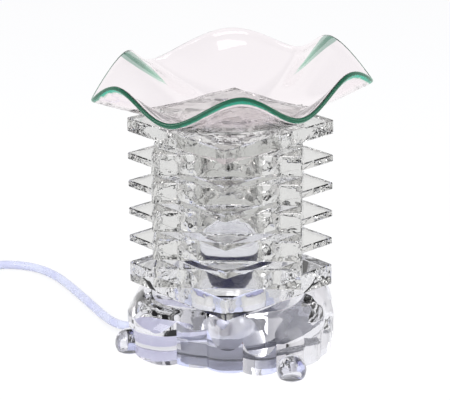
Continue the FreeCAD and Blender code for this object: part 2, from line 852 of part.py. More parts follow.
def build_leads():
    """Two sleeved wires from the cord's end, each round a bend into its port, with a crimp on each."""
    diameter = plain(size("lead_diameter"))
    height = size("cord_entry_height")
    start = size("relief_start")
    spacing = size("lead_spacing")
    sleeves = []
    for number, outwards in enumerate(lead_places()):
        side = size("cord_entry_offset") - spacing / 2 + spacing * number
        bend = size("lead_bend") + spacing * number
        inside = lead_end_sideways(outwards) - size("lead_port_depth") * 0.8
        route = [(start, side), (size("lead_bend_start"), side)]
        edges = []
        for first, last in zip(route, route[1:]):
            ends = [Vector(*[plain(step) for step in along_entry(*spot, height)]) for spot in (first, last)]
            edges.append(Part.LineSegment(*ends).toShape())
        eighth = 1 - math.sqrt(0.5)
        crown = (size("lead_bend_start") - bend * math.sqrt(0.5), side - bend * eighth)
        foot = (outwards, side - bend)
        arc = [Vector(*[plain(step) for step in along_entry(*spot, height)]) for spot in (route[1], crown, foot)]
        edges.append(Part.Arc(*arc).toShape())
        tip = Vector(*[plain(step) for step in along_entry(outwards, inside, height)])
        edges.append(Part.LineSegment(arc[2], tip).toShape())
        label = ("live_lead", "neutral_lead")[number]
        keep(formula(spare_name(label), sweep_round(edges, diameter)), label)
        sleeve_start = start - size("crimp_length") * (1 + number)
        at = along_entry(sleeve_start, side, height)
        radius = size("lead_diameter") / 2 + size("crimp_clearance")
        length = size("crimp_length")
        rod = primitive("Cylinder", f"CrimpRod{number}", Radius=size("crimp_diameter") / 2, Height=length)
        hole = primitive("Cylinder", f"CrimpHole{number}", Radius=radius, Height=length)
        sleeve = cut(f"Crimp{number}", rod, [hole])
        sleeves.append(lay_along(sleeve, at, ENTRY_ANGLE))
    keep(group("CrimpSleeves", sleeves), "crimp_sleeves")


def build_relief():
    """The tapered bushing that holds the cord in the base's notch, and the cord's end inside it."""
    start = size("relief_start")
    end = size("relief_end")
    body = new_body("strain_relief")
    profile = sketch_on(body, "YZ_Plane", "ReliefInner")
    half_width = size("relief_width") / 2
    half_height = size("relief_height") / 2
    closed_outline(
        profile,
        [(-half_width, -half_height), (half_width, -half_height), (half_width, half_height), (-half_width, half_height)],
    )
    tip = sketch_on(body, "YZ_Plane", "ReliefTip")
    tip.AttachmentOffset = FreeCAD.Placement(Vector(0, 0, plain(end - start)), FreeCAD.Rotation())
    tip.setExpression(".AttachmentOffset.Base.z", (end - start).text)
    half_width = size("relief_tip_width") / 2
    half_height = size("relief_tip_height") / 2
    closed_outline(
        tip,
        [(-half_width, -half_height), (half_width, -half_height), (half_width, half_height), (-half_width, half_height)],
    )
    doc.recompute()
    loft = body.newObject("PartDesign::AdditiveLoft", "ReliefTaper")
    loft.Profile = profile
    loft.Sections = [tip]
    doc.recompute()
    at = along_entry(start, size("cord_entry_offset"), size("cord_entry_height"))
    place(body, at, ENTRY_ANGLE)
    radius = size("cord_diameter") / 2 + size("port_clearance")
    hole = primitive("Cylinder", "ReliefHole", Radius=radius, Height=end - start)
    lay_along(hole, at, ENTRY_ANGLE)
    keep(cut("StrainRelief", body, [hole]), "strain_relief")
    tail = primitive("Cylinder", "CordTail", Radius=size("cord_diameter") / 2, Height=end - start)
    return keep(lay_along(tail, at, ENTRY_ANGLE), "cord_tail")


def build_lamp():
    """The twist-in reflector lamp: ceramic base, two headed pins, glass reflector, front lens and capsule."""
    base_radius = size("lamp_base_radius")
    base_height = size("lamp_base_height")
    ease = size("lamp_wall")
    neck = size("lamp_neck_radius")
    profile = [(ZERO, ZERO), (base_radius - ease, ZERO), (base_radius, ease), (base_radius, base_height - ease * 2)]
    profile += [(neck + ease / 2, base_height), (ZERO, base_height)]
    keep(turned("lamp_base", profile, lamp_bottom), "lamp_base")
    rim = size("lamp_diameter") / 2
    top = size("lamp_height")
    wall = size("lamp_wall")
    shelf = top - size("lens_thickness") - size("lens_clearance") * 2
    skirt = top - size("lamp_rim_height")
    profile = [(neck, base_height), (rim - wall / 4, skirt, size("lamp_bowl_radius"), 1), (rim, skirt), (rim, top)]
    profile += [(rim - wall, top), (rim - wall, shelf), (rim - wall * 1.5, shelf)]
    profile += [(rim - wall * 1.5, skirt), (neck - wall, base_height, size("lamp_bowl_radius"), -1)]
    keep(turned("lamp_reflector", profile, lamp_bottom), "lamp_reflector")
    lens_radius = rim - wall - size("lens_clearance")
    lens_bottom = shelf
    lens_top = shelf + size("lens_thickness")
    profile = [(ZERO, lens_bottom), (lens_radius, lens_bottom), (lens_radius, lens_top), (ZERO, lens_top)]
    keep(turned("lamp_lens", profile, lamp_bottom), "lamp_lens")
    radius = size("capsule_radius")
    height = size("capsule_height")
    profile = [(ZERO, base_height), (radius, base_height), (radius, base_height + height - radius)]
    profile += [(ZERO, base_height + height, radius, 1)]
    keep(turned("lamp_capsule", profile, lamp_bottom), "lamp_capsule")
    pins = []
    for number in range(2):
        angle = ENTRY_ANGLE + 180 * number
        shank_at = polar(size("pin_reach"), angle, lamp_bottom - size("pin_length"))
        shank = primitive(
            "Cylinder", f"PinShank{number}", shank_at, Radius=size("pin_diameter") / 2, Height=size("pin_length"),
        )
        head = primitive(
            "Cylinder", f"PinHead{number}", shank_at, Radius=size("pin_head_diameter") / 2,
            Height=size("pin_head_height"),
        )
        pins.append(fuse(f"Pin{number}", [shank, head]))
    return keep(group("LampPins", pins), "lamp_pins")


# Dish


def rim_spots():
    """The rim's crests and troughs in turn, as (angle, reach, rise) from the seat."""
    spots = []
    for number, (turn, reach_share, rise_share) in enumerate(RIM_SHARES):
        kind = "crest" if number % 2 == 0 else "trough"
        reach = plain(size(f"dish_{kind}_reach")) * (1 + reach_share)
        rise = plain(size(f"dish_{kind}_rise")) * (1 + rise_share)
        spots.append((math.radians(RIM_FIRST_ANGLE + 30 * number + turn), reach, rise))
    return spots


def dish_point(number, share):
    """A place in the middle of the glass on one crest or trough line, as (angle, radius, height above the seat)."""
    seat = plain(bore_radius)
    depth = plain(size("dish_depth"))
    raised = (plain(size("dish_thickness")) / 2 + plain(size("dish_clearance"))) / math.cos(math.atan(2 * depth / seat))
    angle, reach, rise = rim_spots()[number]
    even = math.radians(RIM_FIRST_ANGLE + 30 * number)
    if share < 0:
        radius = seat * (1 + share)
        return even, radius, depth * ((radius / seat) ** 2 - 1) + raised
    radius = seat + (reach - seat) * share
    ruffle = rise - depth * ((reach / seat) ** 2 - 1) - raised
    height = depth * ((radius / seat) ** 2 - 1) + raised + ruffle * share**RUFFLE_POWER
    return even + (angle - even) * share, radius, height


def dish_ring(share, outwards, upwards):
    """One point for each crest and trough: moved along the glass and square to it from the middle of its thickness."""
    spots = []
    for number in range(len(RIM_SHARES)):
        angle, radius, height = dish_point(number, share)
        _, near_radius, near_height = dish_point(number, share - 0.001)
        slope = math.atan2(height - near_height, radius - near_radius)
        reach = radius + outwards * math.cos(slope) - upwards * math.sin(slope)
        rise = height + outwards * math.sin(slope) + upwards * math.cos(slope)
        spots.append(Vector(reach * math.cos(angle), reach * math.sin(angle), rise))
    return spots


def smooth_skin(rings):
    """A smooth surface through closed rings of points, cubic both ways."""
    count = len(rings[0])
    poles = []
    for ring in rings:
        poles.append(closed_poles(ring))
    across = [0.0]
    for before, after in zip(poles, poles[1:]):
        across.append(across[-1] + sum(a.distanceToPoint(b) for a, b in zip(before, after)) / count)
    columns = []
    for column in zip(*poles):
        line = Part.BSplineCurve()
        line.interpolate(Points=list(column), Parameters=across)
        columns.append(line.getPoles())
    surface = Part.BSplineSurface()
    net = [list(row) for row in zip(*columns)]
    surface.buildFromPolesMultsKnots(
        net, line.getMultiplicities(), [1] * (count + 1), line.getKnots(), list(range(count + 1)), False, True, 3, 3,
    )
    return surface.toShape()


def build_dish(tower_top):
    """A sheet of glass slumped to a bowl with six ruffles and a rounded edge, leaning a little in its seat."""
    half = plain(size("dish_thickness")) / 2
    rings = [dish_ring(share, 0, half) for share in DISH_RING_SHARES]
    for angle in LIP_ANGLES:
        turn = math.radians(angle)
        rings.append(dish_ring(1, half * (math.cos(turn) - 1), half * math.sin(turn)))
    rings += [dish_ring(share, 0, -half) for share in reversed(DISH_RING_SHARES)]
    skin = smooth_skin(rings)
    round_edges = [edge for edge in skin.Edges if edge.isClosed() and edge.Length < 2 * math.pi * plain(bore_radius)]
    caps = [Part.Face(Part.Wire(edge)) for edge in round_edges]
    shell = Part.Shell([skin, *caps])
    shell.sewShape()
    solid = Part.Solid(shell)
    if solid.Volume < 0:
        solid.reverse()
    print(f"dish: volume {solid.Volume:.0f}, closed {solid.isClosed()}, {len(caps)} middles")
    dish = formula("Dish", solid)
    level = plain(tower_top)
    swing = Vector(0, 0, level + plain(size("dish_lean_radius")))
    tilt = FreeCAD.Rotation(Vector(0, 1, 0), -plain(size("dish_lean")))
    leaning = FreeCAD.Placement(Vector(0, 0, 0), tilt, swing)
    dish.Placement = leaning.multiply(FreeCAD.Placement(Vector(0, 0, level), FreeCAD.Rotation()))
    return keep(dish, "dish")


# Cord


def coil_spot(turn):
    """A point of the coil's line and its heading, a number of turns from its outer start at the front."""
    pitch = plain(size("coil_pitch"))
    outer = plain(size("coil_outer_radius"))
    low = plain(size("cord_diameter")) / 2
    climb = plain(size("coil_layer_pitch"))
    if turn <= COIL_TURNS_IN:
        radius, rate, height, rise = outer - pitch * turn, -pitch, low, 0
    elif turn <= COIL_TURNS_IN + 0.5:
        part = (turn - COIL_TURNS_IN) * 2
        radius = outer - pitch * COIL_TURNS_IN - pitch / 2 * (part - part**2)
        rate = -pitch * (1 - 2 * part)
        height = low + climb * (3 * part**2 - 2 * part**3)
        rise = climb * 12 * (part - part**2)
    else:
        out = turn - COIL_TURNS_IN - 0.5
        radius, rate, height, rise = outer - pitch * COIL_TURNS_IN + pitch * out, pitch, low + climb, 0
    angle = -math.pi / 2 - 2 * math.pi * turn
    centre = Vector(plain(size("coil_centre_x")), plain(size("coil_centre_y")), 0)
    spoke = Vector(math.cos(angle), math.sin(angle), 0)
    around = Vector(math.sin(angle), -math.cos(angle), 0)
    spot = centre + spoke * radius + Vector(0, 0, height)
    heading = (spoke * rate + around * (2 * math.pi * radius) + Vector(0, 0, rise)).normalize()
    return spot, heading


def biarc(start, first_heading, end, last_heading):
    """Two arcs that join two points and keep their headings, as edges."""
    chord = end - start
    both = first_heading + last_heading
    bend = 2 * (1 - first_heading.dot(last_heading))
    along = chord.dot(both)
    reach = (math.sqrt(along**2 + bend * chord.dot(chord)) - along) / bend
    first_corner = start + first_heading * reach
    last_corner = end - last_heading * reach
    middle = (first_corner + last_corner) * 0.5
    edges = []
    for a, corner, b in ((start, first_corner, middle), (middle, last_corner, end)):
        half = (b - a).Length / 2
        angle = math.acos(min(1, half / reach))
        centre = (a + b) * 0.5
        crown = centre + (corner - centre).normalize() * (half * math.tan(angle / 2))
        edges.append(Part.Arc(a, crown, b).toShape())
    return edges


def coil_ends():
    """The coil's straight ends, and the next corners of the cord before and after them, in line with them."""
    diameter = plain(size("cord_diameter"))
    last_turn = COIL_TURNS_IN + 0.5 + COIL_TURNS_OUT
    start, first_heading = coil_spot(0)
    end, last_heading = coil_spot(last_turn)
    reaches = (diameter + COIL_LEAD_IN, diameter, 0)
    before = [start - first_heading * reach for reach in reaches]
    after = [end + last_heading * reach for reach in reversed(reaches)]
    return before, after


def build_coil():
    """The put-away length: one unbroken tube wound in to the middle and out again in two layers."""
    diameter = plain(size("cord_diameter"))
    before, after = coil_ends()
    edges = [Part.LineSegment(*before[1:]).toShape()]
    steps = round((COIL_TURNS_IN + 0.5 + COIL_TURNS_OUT) / COIL_STEP)
    for step in range(steps):
        first = coil_spot(step * COIL_STEP)
        last = coil_spot((step + 1) * COIL_STEP)
        edges += biarc(first[0], first[1], last[0], last[1])
    edges.append(Part.LineSegment(*after[:2]).toShape())
    solid = sweep_round(edges, diameter)
    length = sum(edge.Length for edge in edges)
    print(f"cord_coil: {length:.1f} long, volume {solid.Volume:.1f} of {math.pi * diameter**2 / 4 * length:.1f}")
    print(f"cord_coil: least gap to itself {coil_gap(diameter):.2f}")
    return keep(formula("CordCoil", solid), "cord_coil")


def coil_gap(diameter):
    """The least gap between turns, measured on points of the coil's line more than half a turn apart."""
    steps = round((COIL_TURNS_IN + 0.5 + COIL_TURNS_OUT) * 72)
    spots = [coil_spot(step / 72)[0] for step in range(steps + 1)]
    least = min(
        one.distanceToPoint(other) for index, one in enumerate(spots) for other in spots[index + 36:]
    )
    return least - diameter


def build_cord():
    diameter = plain(size("cord_diameter"))
    before, after = coil_ends()
    tube("CordRun", "cord_run", CORD_RUN, diameter)
    tube("CordLink", "cord_link", [*CORD_LINK, *[tuple(spot) for spot in before[:2]]], diameter)
    build_coil()
    tube("CordLead", "cord_lead", [*[tuple(spot) for spot in after[1:]], *CORD_LEAD], diameter)


# Inline dimmer


def rounded_block(label, length, width, height, corner, edge, level):
    """A block lying along Y with rounded corners in plan and its upper or lower outside edge eased."""
    body = new_body(label)
    outline = sketch_on(body, "XY_Plane", f"{body.Name}Outline")
    half_width = width / 2
    half_length = length / 2
    closed_outline(
        outline,
        [(-half_width, -half_length), (half_width, -half_length), (half_width, half_length), (-half_width, half_length)],
    )
    block = pad(body, outline, height, f"{body.Name}Block")
    doc.recompute()
    upright = [i for i, line in enumerate(block.Shape.Edges) if abs(line.tangentAt(line.FirstParameter).z) > 0.9]
    rounded = dress(body, "Fillet", f"{body.Name}Rounded", block, upright, corner)
    doc.recompute()
    want = 0 if edge[0] == "bottom" else plain(height)
    face_edges = [i for i, line in enumerate(rounded.Shape.Edges) if abs(line.BoundBox.ZMax - want) < 1e-6
                  and abs(line.BoundBox.ZMin - want) < 1e-6]
    dress(body, "Fillet", f"{body.Name}Eased", rounded, face_edges, edge[1])
    return place(body, (size("dimmer_x"), size("dimmer_y"), level))


def build_dimmer():
    """Two moulded halves with a thumbwheel on an axle between them, a small board and two screws from below."""
    length = size("dimmer_length")
    width = size("dimmer_width")
    half = size("dimmer_height") / 2
    wall = size("dimmer_wall")
    over = size("overrun")
    x = size("dimmer_x")
    y = size("dimmer_y")
    wheel_x = x + size("wheel_offset")
    post = size("dimmer_post_diameter") / 2
    post_reach = size("dimmer_post_reach")
    gap = size("wheel_clearance")
    wheel_low = half - size("wheel_thickness") / 2
    for label, level, edge in (("lower_half", ZERO, "bottom"), ("upper_half", half, "top")):
        name = spare_name(label)
        block = rounded_block(f"{label}_block", length, width, half, size("dimmer_corner"), (edge, size("dimmer_edge")), level)
        lower = edge == "bottom"
        room_level = wall if lower else half - over
        room = primitive(
            "Box", f"{name}Room",
            (x - width / 2 + wall, y - length / 2 + wall * 2, room_level),
            Length=width - wall * 2, Width=length - wall * 4, Height=half - wall + over,
        )
        posts = []
        for number, sign in enumerate((-1, 1)):
            at = (x, y + post_reach * sign, ZERO if lower else half)
            posts.append(primitive("Cylinder", f"{name}Post{number}", at, Radius=post, Height=half))
        boss = primitive(
            "Cylinder", f"{name}Boss", (wheel_x, y, ZERO if lower else half), Radius=post,
            Height=half,
        )
        shell = fuse(f"{name}Shell", [cut(f"{name}Hollow", block, [room]), *trimmed(name, [*posts, boss], block)])
        tools = []
        slot_reach = size("wheel_diameter") / 2 + gap
        slot_height = size("wheel_thickness") + gap * 2
        tools.append(primitive(
            "Cylinder", f"{name}WheelSlot", (wheel_x, y, wheel_low - gap), Radius=slot_reach, Height=slot_height,
        ))
        axle_radius = size("axle_diameter") / 2 + size("axle_clearance")
        axle_low = wheel_low - gap - size("axle_socket")
        axle_high = slot_height + size("axle_socket") * 2
        tools.append(primitive("Cylinder", f"{name}AxleHole", (wheel_x, y, axle_low), Radius=axle_radius, Height=axle_high))
        for number, sign in enumerate((-1, 1)):
            port = primitive(
                "Cylinder", f"{name}Port{number}", Radius=size("cord_diameter") / 2 + size("port_clearance"),
                Height=wall * 2 + over * 2,
            )
            end = y + (length / 2 - wall * 2 - over if sign > 0 else -(length / 2) - over)
            lay_along(port, (x, end, half), 90)
            tools.append(port)
            hole = size("dimmer_screw_diameter") / 2 + size("screw_clearance")
            tools.append(primitive(
                "Cylinder", f"{name}ScrewHole{number}", (x, y + post_reach * sign, -over), Radius=hole,
                Height=size("dimmer_head_height") + size("dimmer_screw_length") + size("screw_clearance") + over,
            ))
            if lower:
                sink = size("dimmer_head_diameter") / 2 + size("screw_clearance")
                tools.append(primitive(
                    "Cylinder", f"{name}ScrewSink{number}", (x, y + post_reach * sign, -over), Radius=sink,
                    Height=size("dimmer_head_height") + over,
                ))
        keep(cut(f"Dimmer{name}", shell, tools), f"dimmer_{label}")
    build_wheel(wheel_x, y, wheel_low)
    axle = primitive(
        "Cylinder", "DimmerAxle", (wheel_x, y, wheel_low - gap - size("axle_socket")),
        Radius=size("axle_diameter") / 2,
        Height=size("wheel_thickness") + (gap + size("axle_socket")) * 2,
    )
    keep(axle, "dimmer_axle")
    screws = []
    for number, sign in enumerate((-1, 1)):
        spot = (x, y + post_reach * sign)
        head = primitive(
            "Cylinder", f"DimmerScrewHead{number}", (*spot, ZERO), Radius=size("dimmer_head_diameter") / 2,
            Height=size("dimmer_head_height"),
        )
        shank = primitive(
            "Cylinder", f"DimmerScrewShank{number}", (*spot, size("dimmer_head_height")),
            Radius=size("dimmer_screw_diameter") / 2, Height=size("dimmer_screw_length"),
        )
        screws.append(fuse(f"DimmerScrew{number}", [head, shank]))
    keep(group("DimmerScrews", screws), "dimmer_screws")
    return build_board(x, y, wall)


def trimmed(name, items, block):
    """Posts kept inside the moulded half that carries them."""
    kept = []
    for number, item in enumerate(items):
        inside = doc.addObject("Part::MultiCommon", f"{name}Inside{number}")
        inside.Shapes = [item, block]
        kept.append(inside)
    return kept


def build_wheel(x, y, level):
    """The thumbwheel: a disc with a bore for its axle and grooves round its edge."""
    body = new_body("wheel_disc")
    outline = sketch_on(body, "XY_Plane", "WheelOutline")
    circle_in(outline, size("wheel_diameter") / 2)
    circle_in(outline, size("axle_diameter") / 2 + size("axle_clearance"))
    pad(body, outline, size("wheel_thickness"), "WheelDiscPad")
    doc.recompute()
    groove = sketch_on(body, "XY_Plane", "WheelGroove")
    circle_in(groove, size("wheel_groove_radius"), size("wheel_diameter") / 2)
    cutter = body.newObject("PartDesign::Pocket", "WheelGroovePocket")
    cutter.Profile = groove
    cutter.Type = "ThroughAll"
    cutter.Reversed = True
    doc.recompute()
    pattern = body.newObject("PartDesign::PolarPattern", "WheelGrooves")
    pattern.Originals = [cutter]
    pattern.Axis = (outline, ["N_Axis"])
    pattern.Angle = 360
    pattern.Occurrences = int(plain(size("wheel_groove_count")))
    pattern.setExpression("Occurrences", size("wheel_groove_count").text)
    body.Tip = pattern
    place(body, (x, y, level))
    return keep(body, "dimmer_wheel")


def build_board(x, y, level):
    """The dimmer's circuit board in the lower half, with two low parts on it."""
    width = size("board_width")
    length = size("board_length")
    thickness = size("board_thickness")
    left = x - size("dimmer_width") / 2 + size("dimmer_wall") * 1.5
    front = y - length / 2
    card = primitive("Box", "BoardCard", (left, front, level), Length=width, Width=length, Height=thickness)
    tall = size("board_part_height")
    chip = primitive(
        "Box", "BoardChip", (left + width / 8, front + length / 8, level + thickness), Length=width / 3,
        Width=length / 4, Height=tall,
    )
    drum = primitive(
        "Cylinder", "BoardDrum", (left + width / 4, front + length * 0.75, level + thickness), Radius=width / 8,
        Height=tall,
    )
    post = primitive(
        "Cylinder", "BoardBossRoom", (x + size("wheel_offset"), y, level - size("overrun")),
        Radius=size("dimmer_post_diameter") / 2 + size("wheel_clearance"), Height=size("overrun") * 3,
    )
    return keep(cut("DimmerBoard", fuse("BoardParts", [card, chip, drum]), [post]), "dimmer_board")


# Plug


def build_plug():
    """A flat two-blade plug lying on the table: a stepped, rounded body and two blades with a hole each."""
    x = size("plug_x")
    y = size("plug_y")
    middle = size("plug_height") / 2
    neck_length = size("plug_neck_length")
    parts = []
    for name, start, length, width, height in (
        ("PlugNeck", ZERO, neck_length, size("plug_neck_width"), size("plug_neck_height")),
        ("PlugHead", neck_length, size("plug_length") - neck_length, size("plug_width"), size("plug_height")),
    ):
        at = (x + start, y - width / 2, middle - height / 2)
        block = primitive("Box", f"{name}Block", at, Length=length, Width=width, Height=height)
        doc.recompute()
        rounded = doc.addObject("Part::Fillet", name)
        rounded.Base = block
        radius = plain(size("plug_corner"))
        lengthwise = [i + 1 for i, edge in enumerate(block.Shape.Edges)
                      if abs(edge.tangentAt(edge.FirstParameter).x) > 0.9]
        rounded.Edges = [(index, radius, radius) for index in lengthwise]
        parts.append(rounded)
    keep(fuse("PlugBody", parts), "plug_body")
    blades = []
    for number, sign in enumerate((-1, 1)):
        blade_y = y + size("blade_spacing") / 2 * sign - size("blade_thickness") / 2
        start = x + size("plug_length")
        at = (start, blade_y, middle - size("blade_height") / 2)
        blade = primitive(
            "Box", f"Blade{number}", at, Length=size("blade_length"), Width=size("blade_thickness"),
            Height=size("blade_height"),
        )
        hole_at = (start + size("blade_length") - size("blade_hole_inset"), blade_y - size("overrun"), middle)
        hole = primitive(
            "Cylinder", f"BladeHole{number}", Radius=size("blade_hole_diameter") / 2,
            Height=size("blade_thickness") + size("overrun") * 2,
        )
        lay_along(hole, hole_at, 90)
        blades.append(cut(f"BladeCut{number}", blade, [hole]))
    return keep(group("PlugBlades", blades), "plug_blades")


def check_and_write():
    """Stops on any failed object or shape, then writes each sub-part to its own file."""
    doc.recompute()
    for item in doc.Objects:
        if "Invalid" in item.State or "Error" in item.State:
            raise RuntimeError(f"{item.Name} failed: {item.State}")
    os.makedirs("parts", exist_ok=True)
    for item in nodes:
        shape = item.Shape
        if shape.isNull() or not shape.isValid() or not shape.Solids:
            raise RuntimeError(f"{item.Label} has no valid solid")
        shape.exportStep(f"parts/{item.Label}.step")
    print(f"{len(nodes)} sub-parts written")


top_level = build_tower()
build_base()
build_feet()
build_cover()
build_bracket()
bracket_seat = cover_floor + size("bracket_thickness")
screw_set(
    "bracket_screws", size("bracket_screw_reach"), ENTRY_ANGLE, size("bracket_screw_diameter"),
    size("bracket_head_diameter"), size("bracket_head_height"), bracket_seat, cover_bottom,
)
build_holder()
screw_set(
    "holder_screws", size("holder_screw_reach"), ENTRY_ANGLE + 90, size("holder_screw_diameter"),
    size("holder_head_diameter"), size("holder_head_height"), holder_top - size("counterbore_depth"), cover_bottom,
)
build_leads()
build_relief()
build_lamp()
build_dish(top_level)
build_cord()
build_dimmer()
build_plug()
check_and_write()
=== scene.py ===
import bpy
import bmesh
import math
from mathutils import Matrix, Vector


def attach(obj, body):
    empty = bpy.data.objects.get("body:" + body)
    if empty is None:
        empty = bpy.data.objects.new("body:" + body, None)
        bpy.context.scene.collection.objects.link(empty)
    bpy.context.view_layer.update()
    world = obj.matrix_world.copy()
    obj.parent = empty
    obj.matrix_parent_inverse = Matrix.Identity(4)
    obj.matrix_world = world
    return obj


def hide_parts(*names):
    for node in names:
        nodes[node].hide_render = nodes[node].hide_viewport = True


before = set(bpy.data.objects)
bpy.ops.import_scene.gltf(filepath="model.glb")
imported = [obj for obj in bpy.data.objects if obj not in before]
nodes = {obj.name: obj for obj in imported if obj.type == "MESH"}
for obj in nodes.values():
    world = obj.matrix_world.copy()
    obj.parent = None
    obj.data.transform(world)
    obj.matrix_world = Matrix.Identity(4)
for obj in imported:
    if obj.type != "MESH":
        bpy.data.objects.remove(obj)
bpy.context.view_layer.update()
print("frame loaded:", len(nodes), "nodes")

mm = 0.001


# helpers
def newMaterial(name, **values):
    material = bpy.data.materials.new(name)
    material.use_nodes = True
    shader = material.node_tree.nodes["Principled BSDF"]
    for socket, value in values.items():
        shader.inputs[socket.replace("_", " ")].default_value = value
    return material, material.node_tree, shader


def newGlass(name, colour, roughness=0.0, **values):
    return newMaterial(
        name, Base_Color=colour, Roughness=roughness, IOR=1.5, Transmission_Weight=1.0, **values,
    )


def addGroup(name, inputs, outputs):
    group = bpy.data.node_groups.new(name, "ShaderNodeTree")
    for label, value in inputs.items():
        socket = group.interface.new_socket(label, in_out="INPUT", socket_type="NodeSocketFloat")
        socket.default_value = value
    for label in outputs:
        group.interface.new_socket(label, in_out="OUTPUT", socket_type="NodeSocketFloat")
    return group, group.nodes.new("NodeGroupInput"), group.nodes.new("NodeGroupOutput")


def calc(tree, operation, *values):
    step = tree.nodes.new("ShaderNodeMath")
    step.operation = operation
    for socket, value in zip(step.inputs, values):
        if isinstance(value, (int, float)):
            socket.default_value = value
        else:
            tree.links.new(value, socket)
    return step.outputs[0]


def rangeOf(tree, value, low, high):
    step = tree.nodes.new("ShaderNodeMapRange")
    step.interpolation_type = "SMOOTHSTEP"
    step.inputs["From Min"].default_value = low
    step.inputs["From Max"].default_value = high
    tree.links.new(value, step.inputs["Value"])
    return step.outputs["Result"]


def mixColours(tree, share, first, second):
    blend = tree.nodes.new("ShaderNodeMix")
    blend.data_type = "RGBA"
    tree.links.new(share, blend.inputs["Factor"])
    for value, socket in ((first, blend.inputs["A"]), (second, blend.inputs["B"])):
        if isinstance(value, tuple):
            socket.default_value = value
        else:
            tree.links.new(value, socket)
    return blend.outputs["Result"]


def placeGroup(tree, group, **values):
    step = tree.nodes.new("ShaderNodeGroup")
    step.node_tree = group
    for socket, value in values.items():
        step.inputs[socket.replace("_", " ")].default_value = value
    return step


# camera and studio
studio = {
    "cameraPlace": (-2.965, -1107.1, 471.3),
    "cameraDip": 19.467,
    "cameraRoll": -0.279,
    "sensor": 36,
    "lens": 170.31,
    "farthest": 20,
    "floorHalf": 3.0,
    "floorColour": (0.80, 0.80, 0.82, 1),
    "floorRoughness": 0.9,
    "floorGlow": 0.8,
    "bounces": 40,
    "keyBox": {"place": (-0.9, -0.7, 0.9), "aim": (0, 0, 0.08), "size": (0.9, 0.6), "power": 7.0},
    "fillBox": {"place": (1.0, -0.5, 0.6), "aim": (0, 0, 0.08), "size": (0.7, 0.9), "power": 4.0},
    "topBox": {"place": (0.0, -0.5, 1.2), "aim": (0, 0, 0.1), "size": (0.8, 0.6), "power": 6.0},
    "worldColour": (0.86, 0.87, 0.90, 1),
    "ceiling": (0.34, 0.34, 0.36, 1),
    "ceilingLow": (0.62, 0.70),
    "ceilingHigh": (0.92, 0.84),
    "surround": [
        (0.01, (0.46, 0.47, 0.50)), (0.5, (0.60, 0.60, 0.62)), (0.78, (0.78, 0.77, 0.78)),
        (0.92, (0.99, 0.98, 0.98)), (0.99, (1.0, 1.0, 1.0)),
    ],
}


def buildCamera():
    cameraData = bpy.data.cameras.new("photoCamera")
    cameraData.sensor_width = studio["sensor"]
    cameraData.lens = studio["lens"]
    cameraData.clip_end = studio["farthest"]
    camera = bpy.data.objects.new("photoCamera", cameraData)
    bpy.context.scene.collection.objects.link(camera)
    dip = math.radians(studio["cameraDip"])
    roll = math.radians(studio["cameraRoll"])
    across = Vector((1, 0, 0))
    upward = Vector((0, math.sin(dip), math.cos(dip)))
    ahead = Vector((0, math.cos(dip), -math.sin(dip)))
    right = across * math.cos(roll) + upward * math.sin(roll)
    up = upward * math.cos(roll) - across * math.sin(roll)
    turn = Matrix((right, up, -ahead)).transposed()
    place = Vector(studio["cameraPlace"]) * mm
    camera.matrix_world = Matrix.Translation(place) @ turn.to_4x4()
    bpy.context.scene.camera = camera


def addSoftbox(name):
    box = studio[name]
    lampData = bpy.data.lights.new(name, "AREA")
    lampData.shape = "RECTANGLE"
    lampData.size, lampData.size_y = box["size"]
    lampData.energy = box["power"]
    lamp = bpy.data.objects.new(name, lampData)
    bpy.context.scene.collection.objects.link(lamp)
    lamp.location = box["place"]
    sight = Vector(box["aim"]) - Vector(box["place"])
    lamp.rotation_euler = sight.to_track_quat("-Z", "Y").to_euler()
    return lamp


def seenBy(tree):  # the camera sees the pale background, and so do metal and glass
    path = tree.nodes.new("ShaderNodeLightPath")
    camera, glossy = path.outputs["Is Camera Ray"], path.outputs["Is Glossy Ray"]
    either = calc(tree, "MAXIMUM", glossy, path.outputs["Is Transmission Ray"])
    return camera, calc(tree, "MAXIMUM", either, camera)


def buildWorld():
    world = bpy.data.worlds.new("paleStudio")
    bpy.context.scene.world = world
    world.use_nodes = True
    tree = world.node_tree
    tree.nodes.clear()
    output = tree.nodes.new("ShaderNodeOutputWorld")
    mixer = tree.nodes.new("ShaderNodeMixShader")
    soft = tree.nodes.new("ShaderNodeBackground")
    seen = tree.nodes.new("ShaderNodeBackground")
    soft.inputs["Color"].default_value = studio["worldColour"]
    coords = tree.nodes.new("ShaderNodeTexCoord")
    split = tree.nodes.new("ShaderNodeSeparateXYZ")
    tree.links.new(coords.outputs["Generated"], split.inputs[0])
    depth = tree.nodes.new("ShaderNodeMapRange")
    depth.inputs["From Min"].default_value = -1
    depth.inputs["From Max"].default_value = 1
    tree.links.new(split.outputs["Y"], depth.inputs["Value"])
    # white straight behind the object, greyer at the sides and in front, a dim ring overhead
    ramp = tree.nodes.new("ShaderNodeValToRGB")
    for place, colour in studio["surround"]:
        step = ramp.color_ramp.elements.new(place)
        step.color = (*colour, 1)
    ramp.color_ramp.elements.remove(ramp.color_ramp.elements[0])
    ramp.color_ramp.elements.remove(ramp.color_ramp.elements[-1])
    tree.links.new(depth.outputs["Result"], ramp.inputs["Fac"])
    camera, anyOf = seenBy(tree)
    low = rangeOf(tree, split.outputs["Z"], *studio["ceilingLow"])
    high = rangeOf(tree, split.outputs["Z"], *studio["ceilingHigh"])
    overhead = calc(tree, "MULTIPLY", low, high)
    around = mixColours(tree, overhead, ramp.outputs["Color"], studio["ceiling"])
    tree.links.new(mixColours(tree, camera, around, (1.0, 1.0, 1.0, 1.0)), seen.inputs["Color"])
    tree.links.new(anyOf, mixer.inputs["Fac"])
    tree.links.new(soft.outputs[0], mixer.inputs[1])
    tree.links.new(seen.outputs[0], mixer.inputs[2])
    tree.links.new(mixer.outputs[0], output.inputs["Surface"])


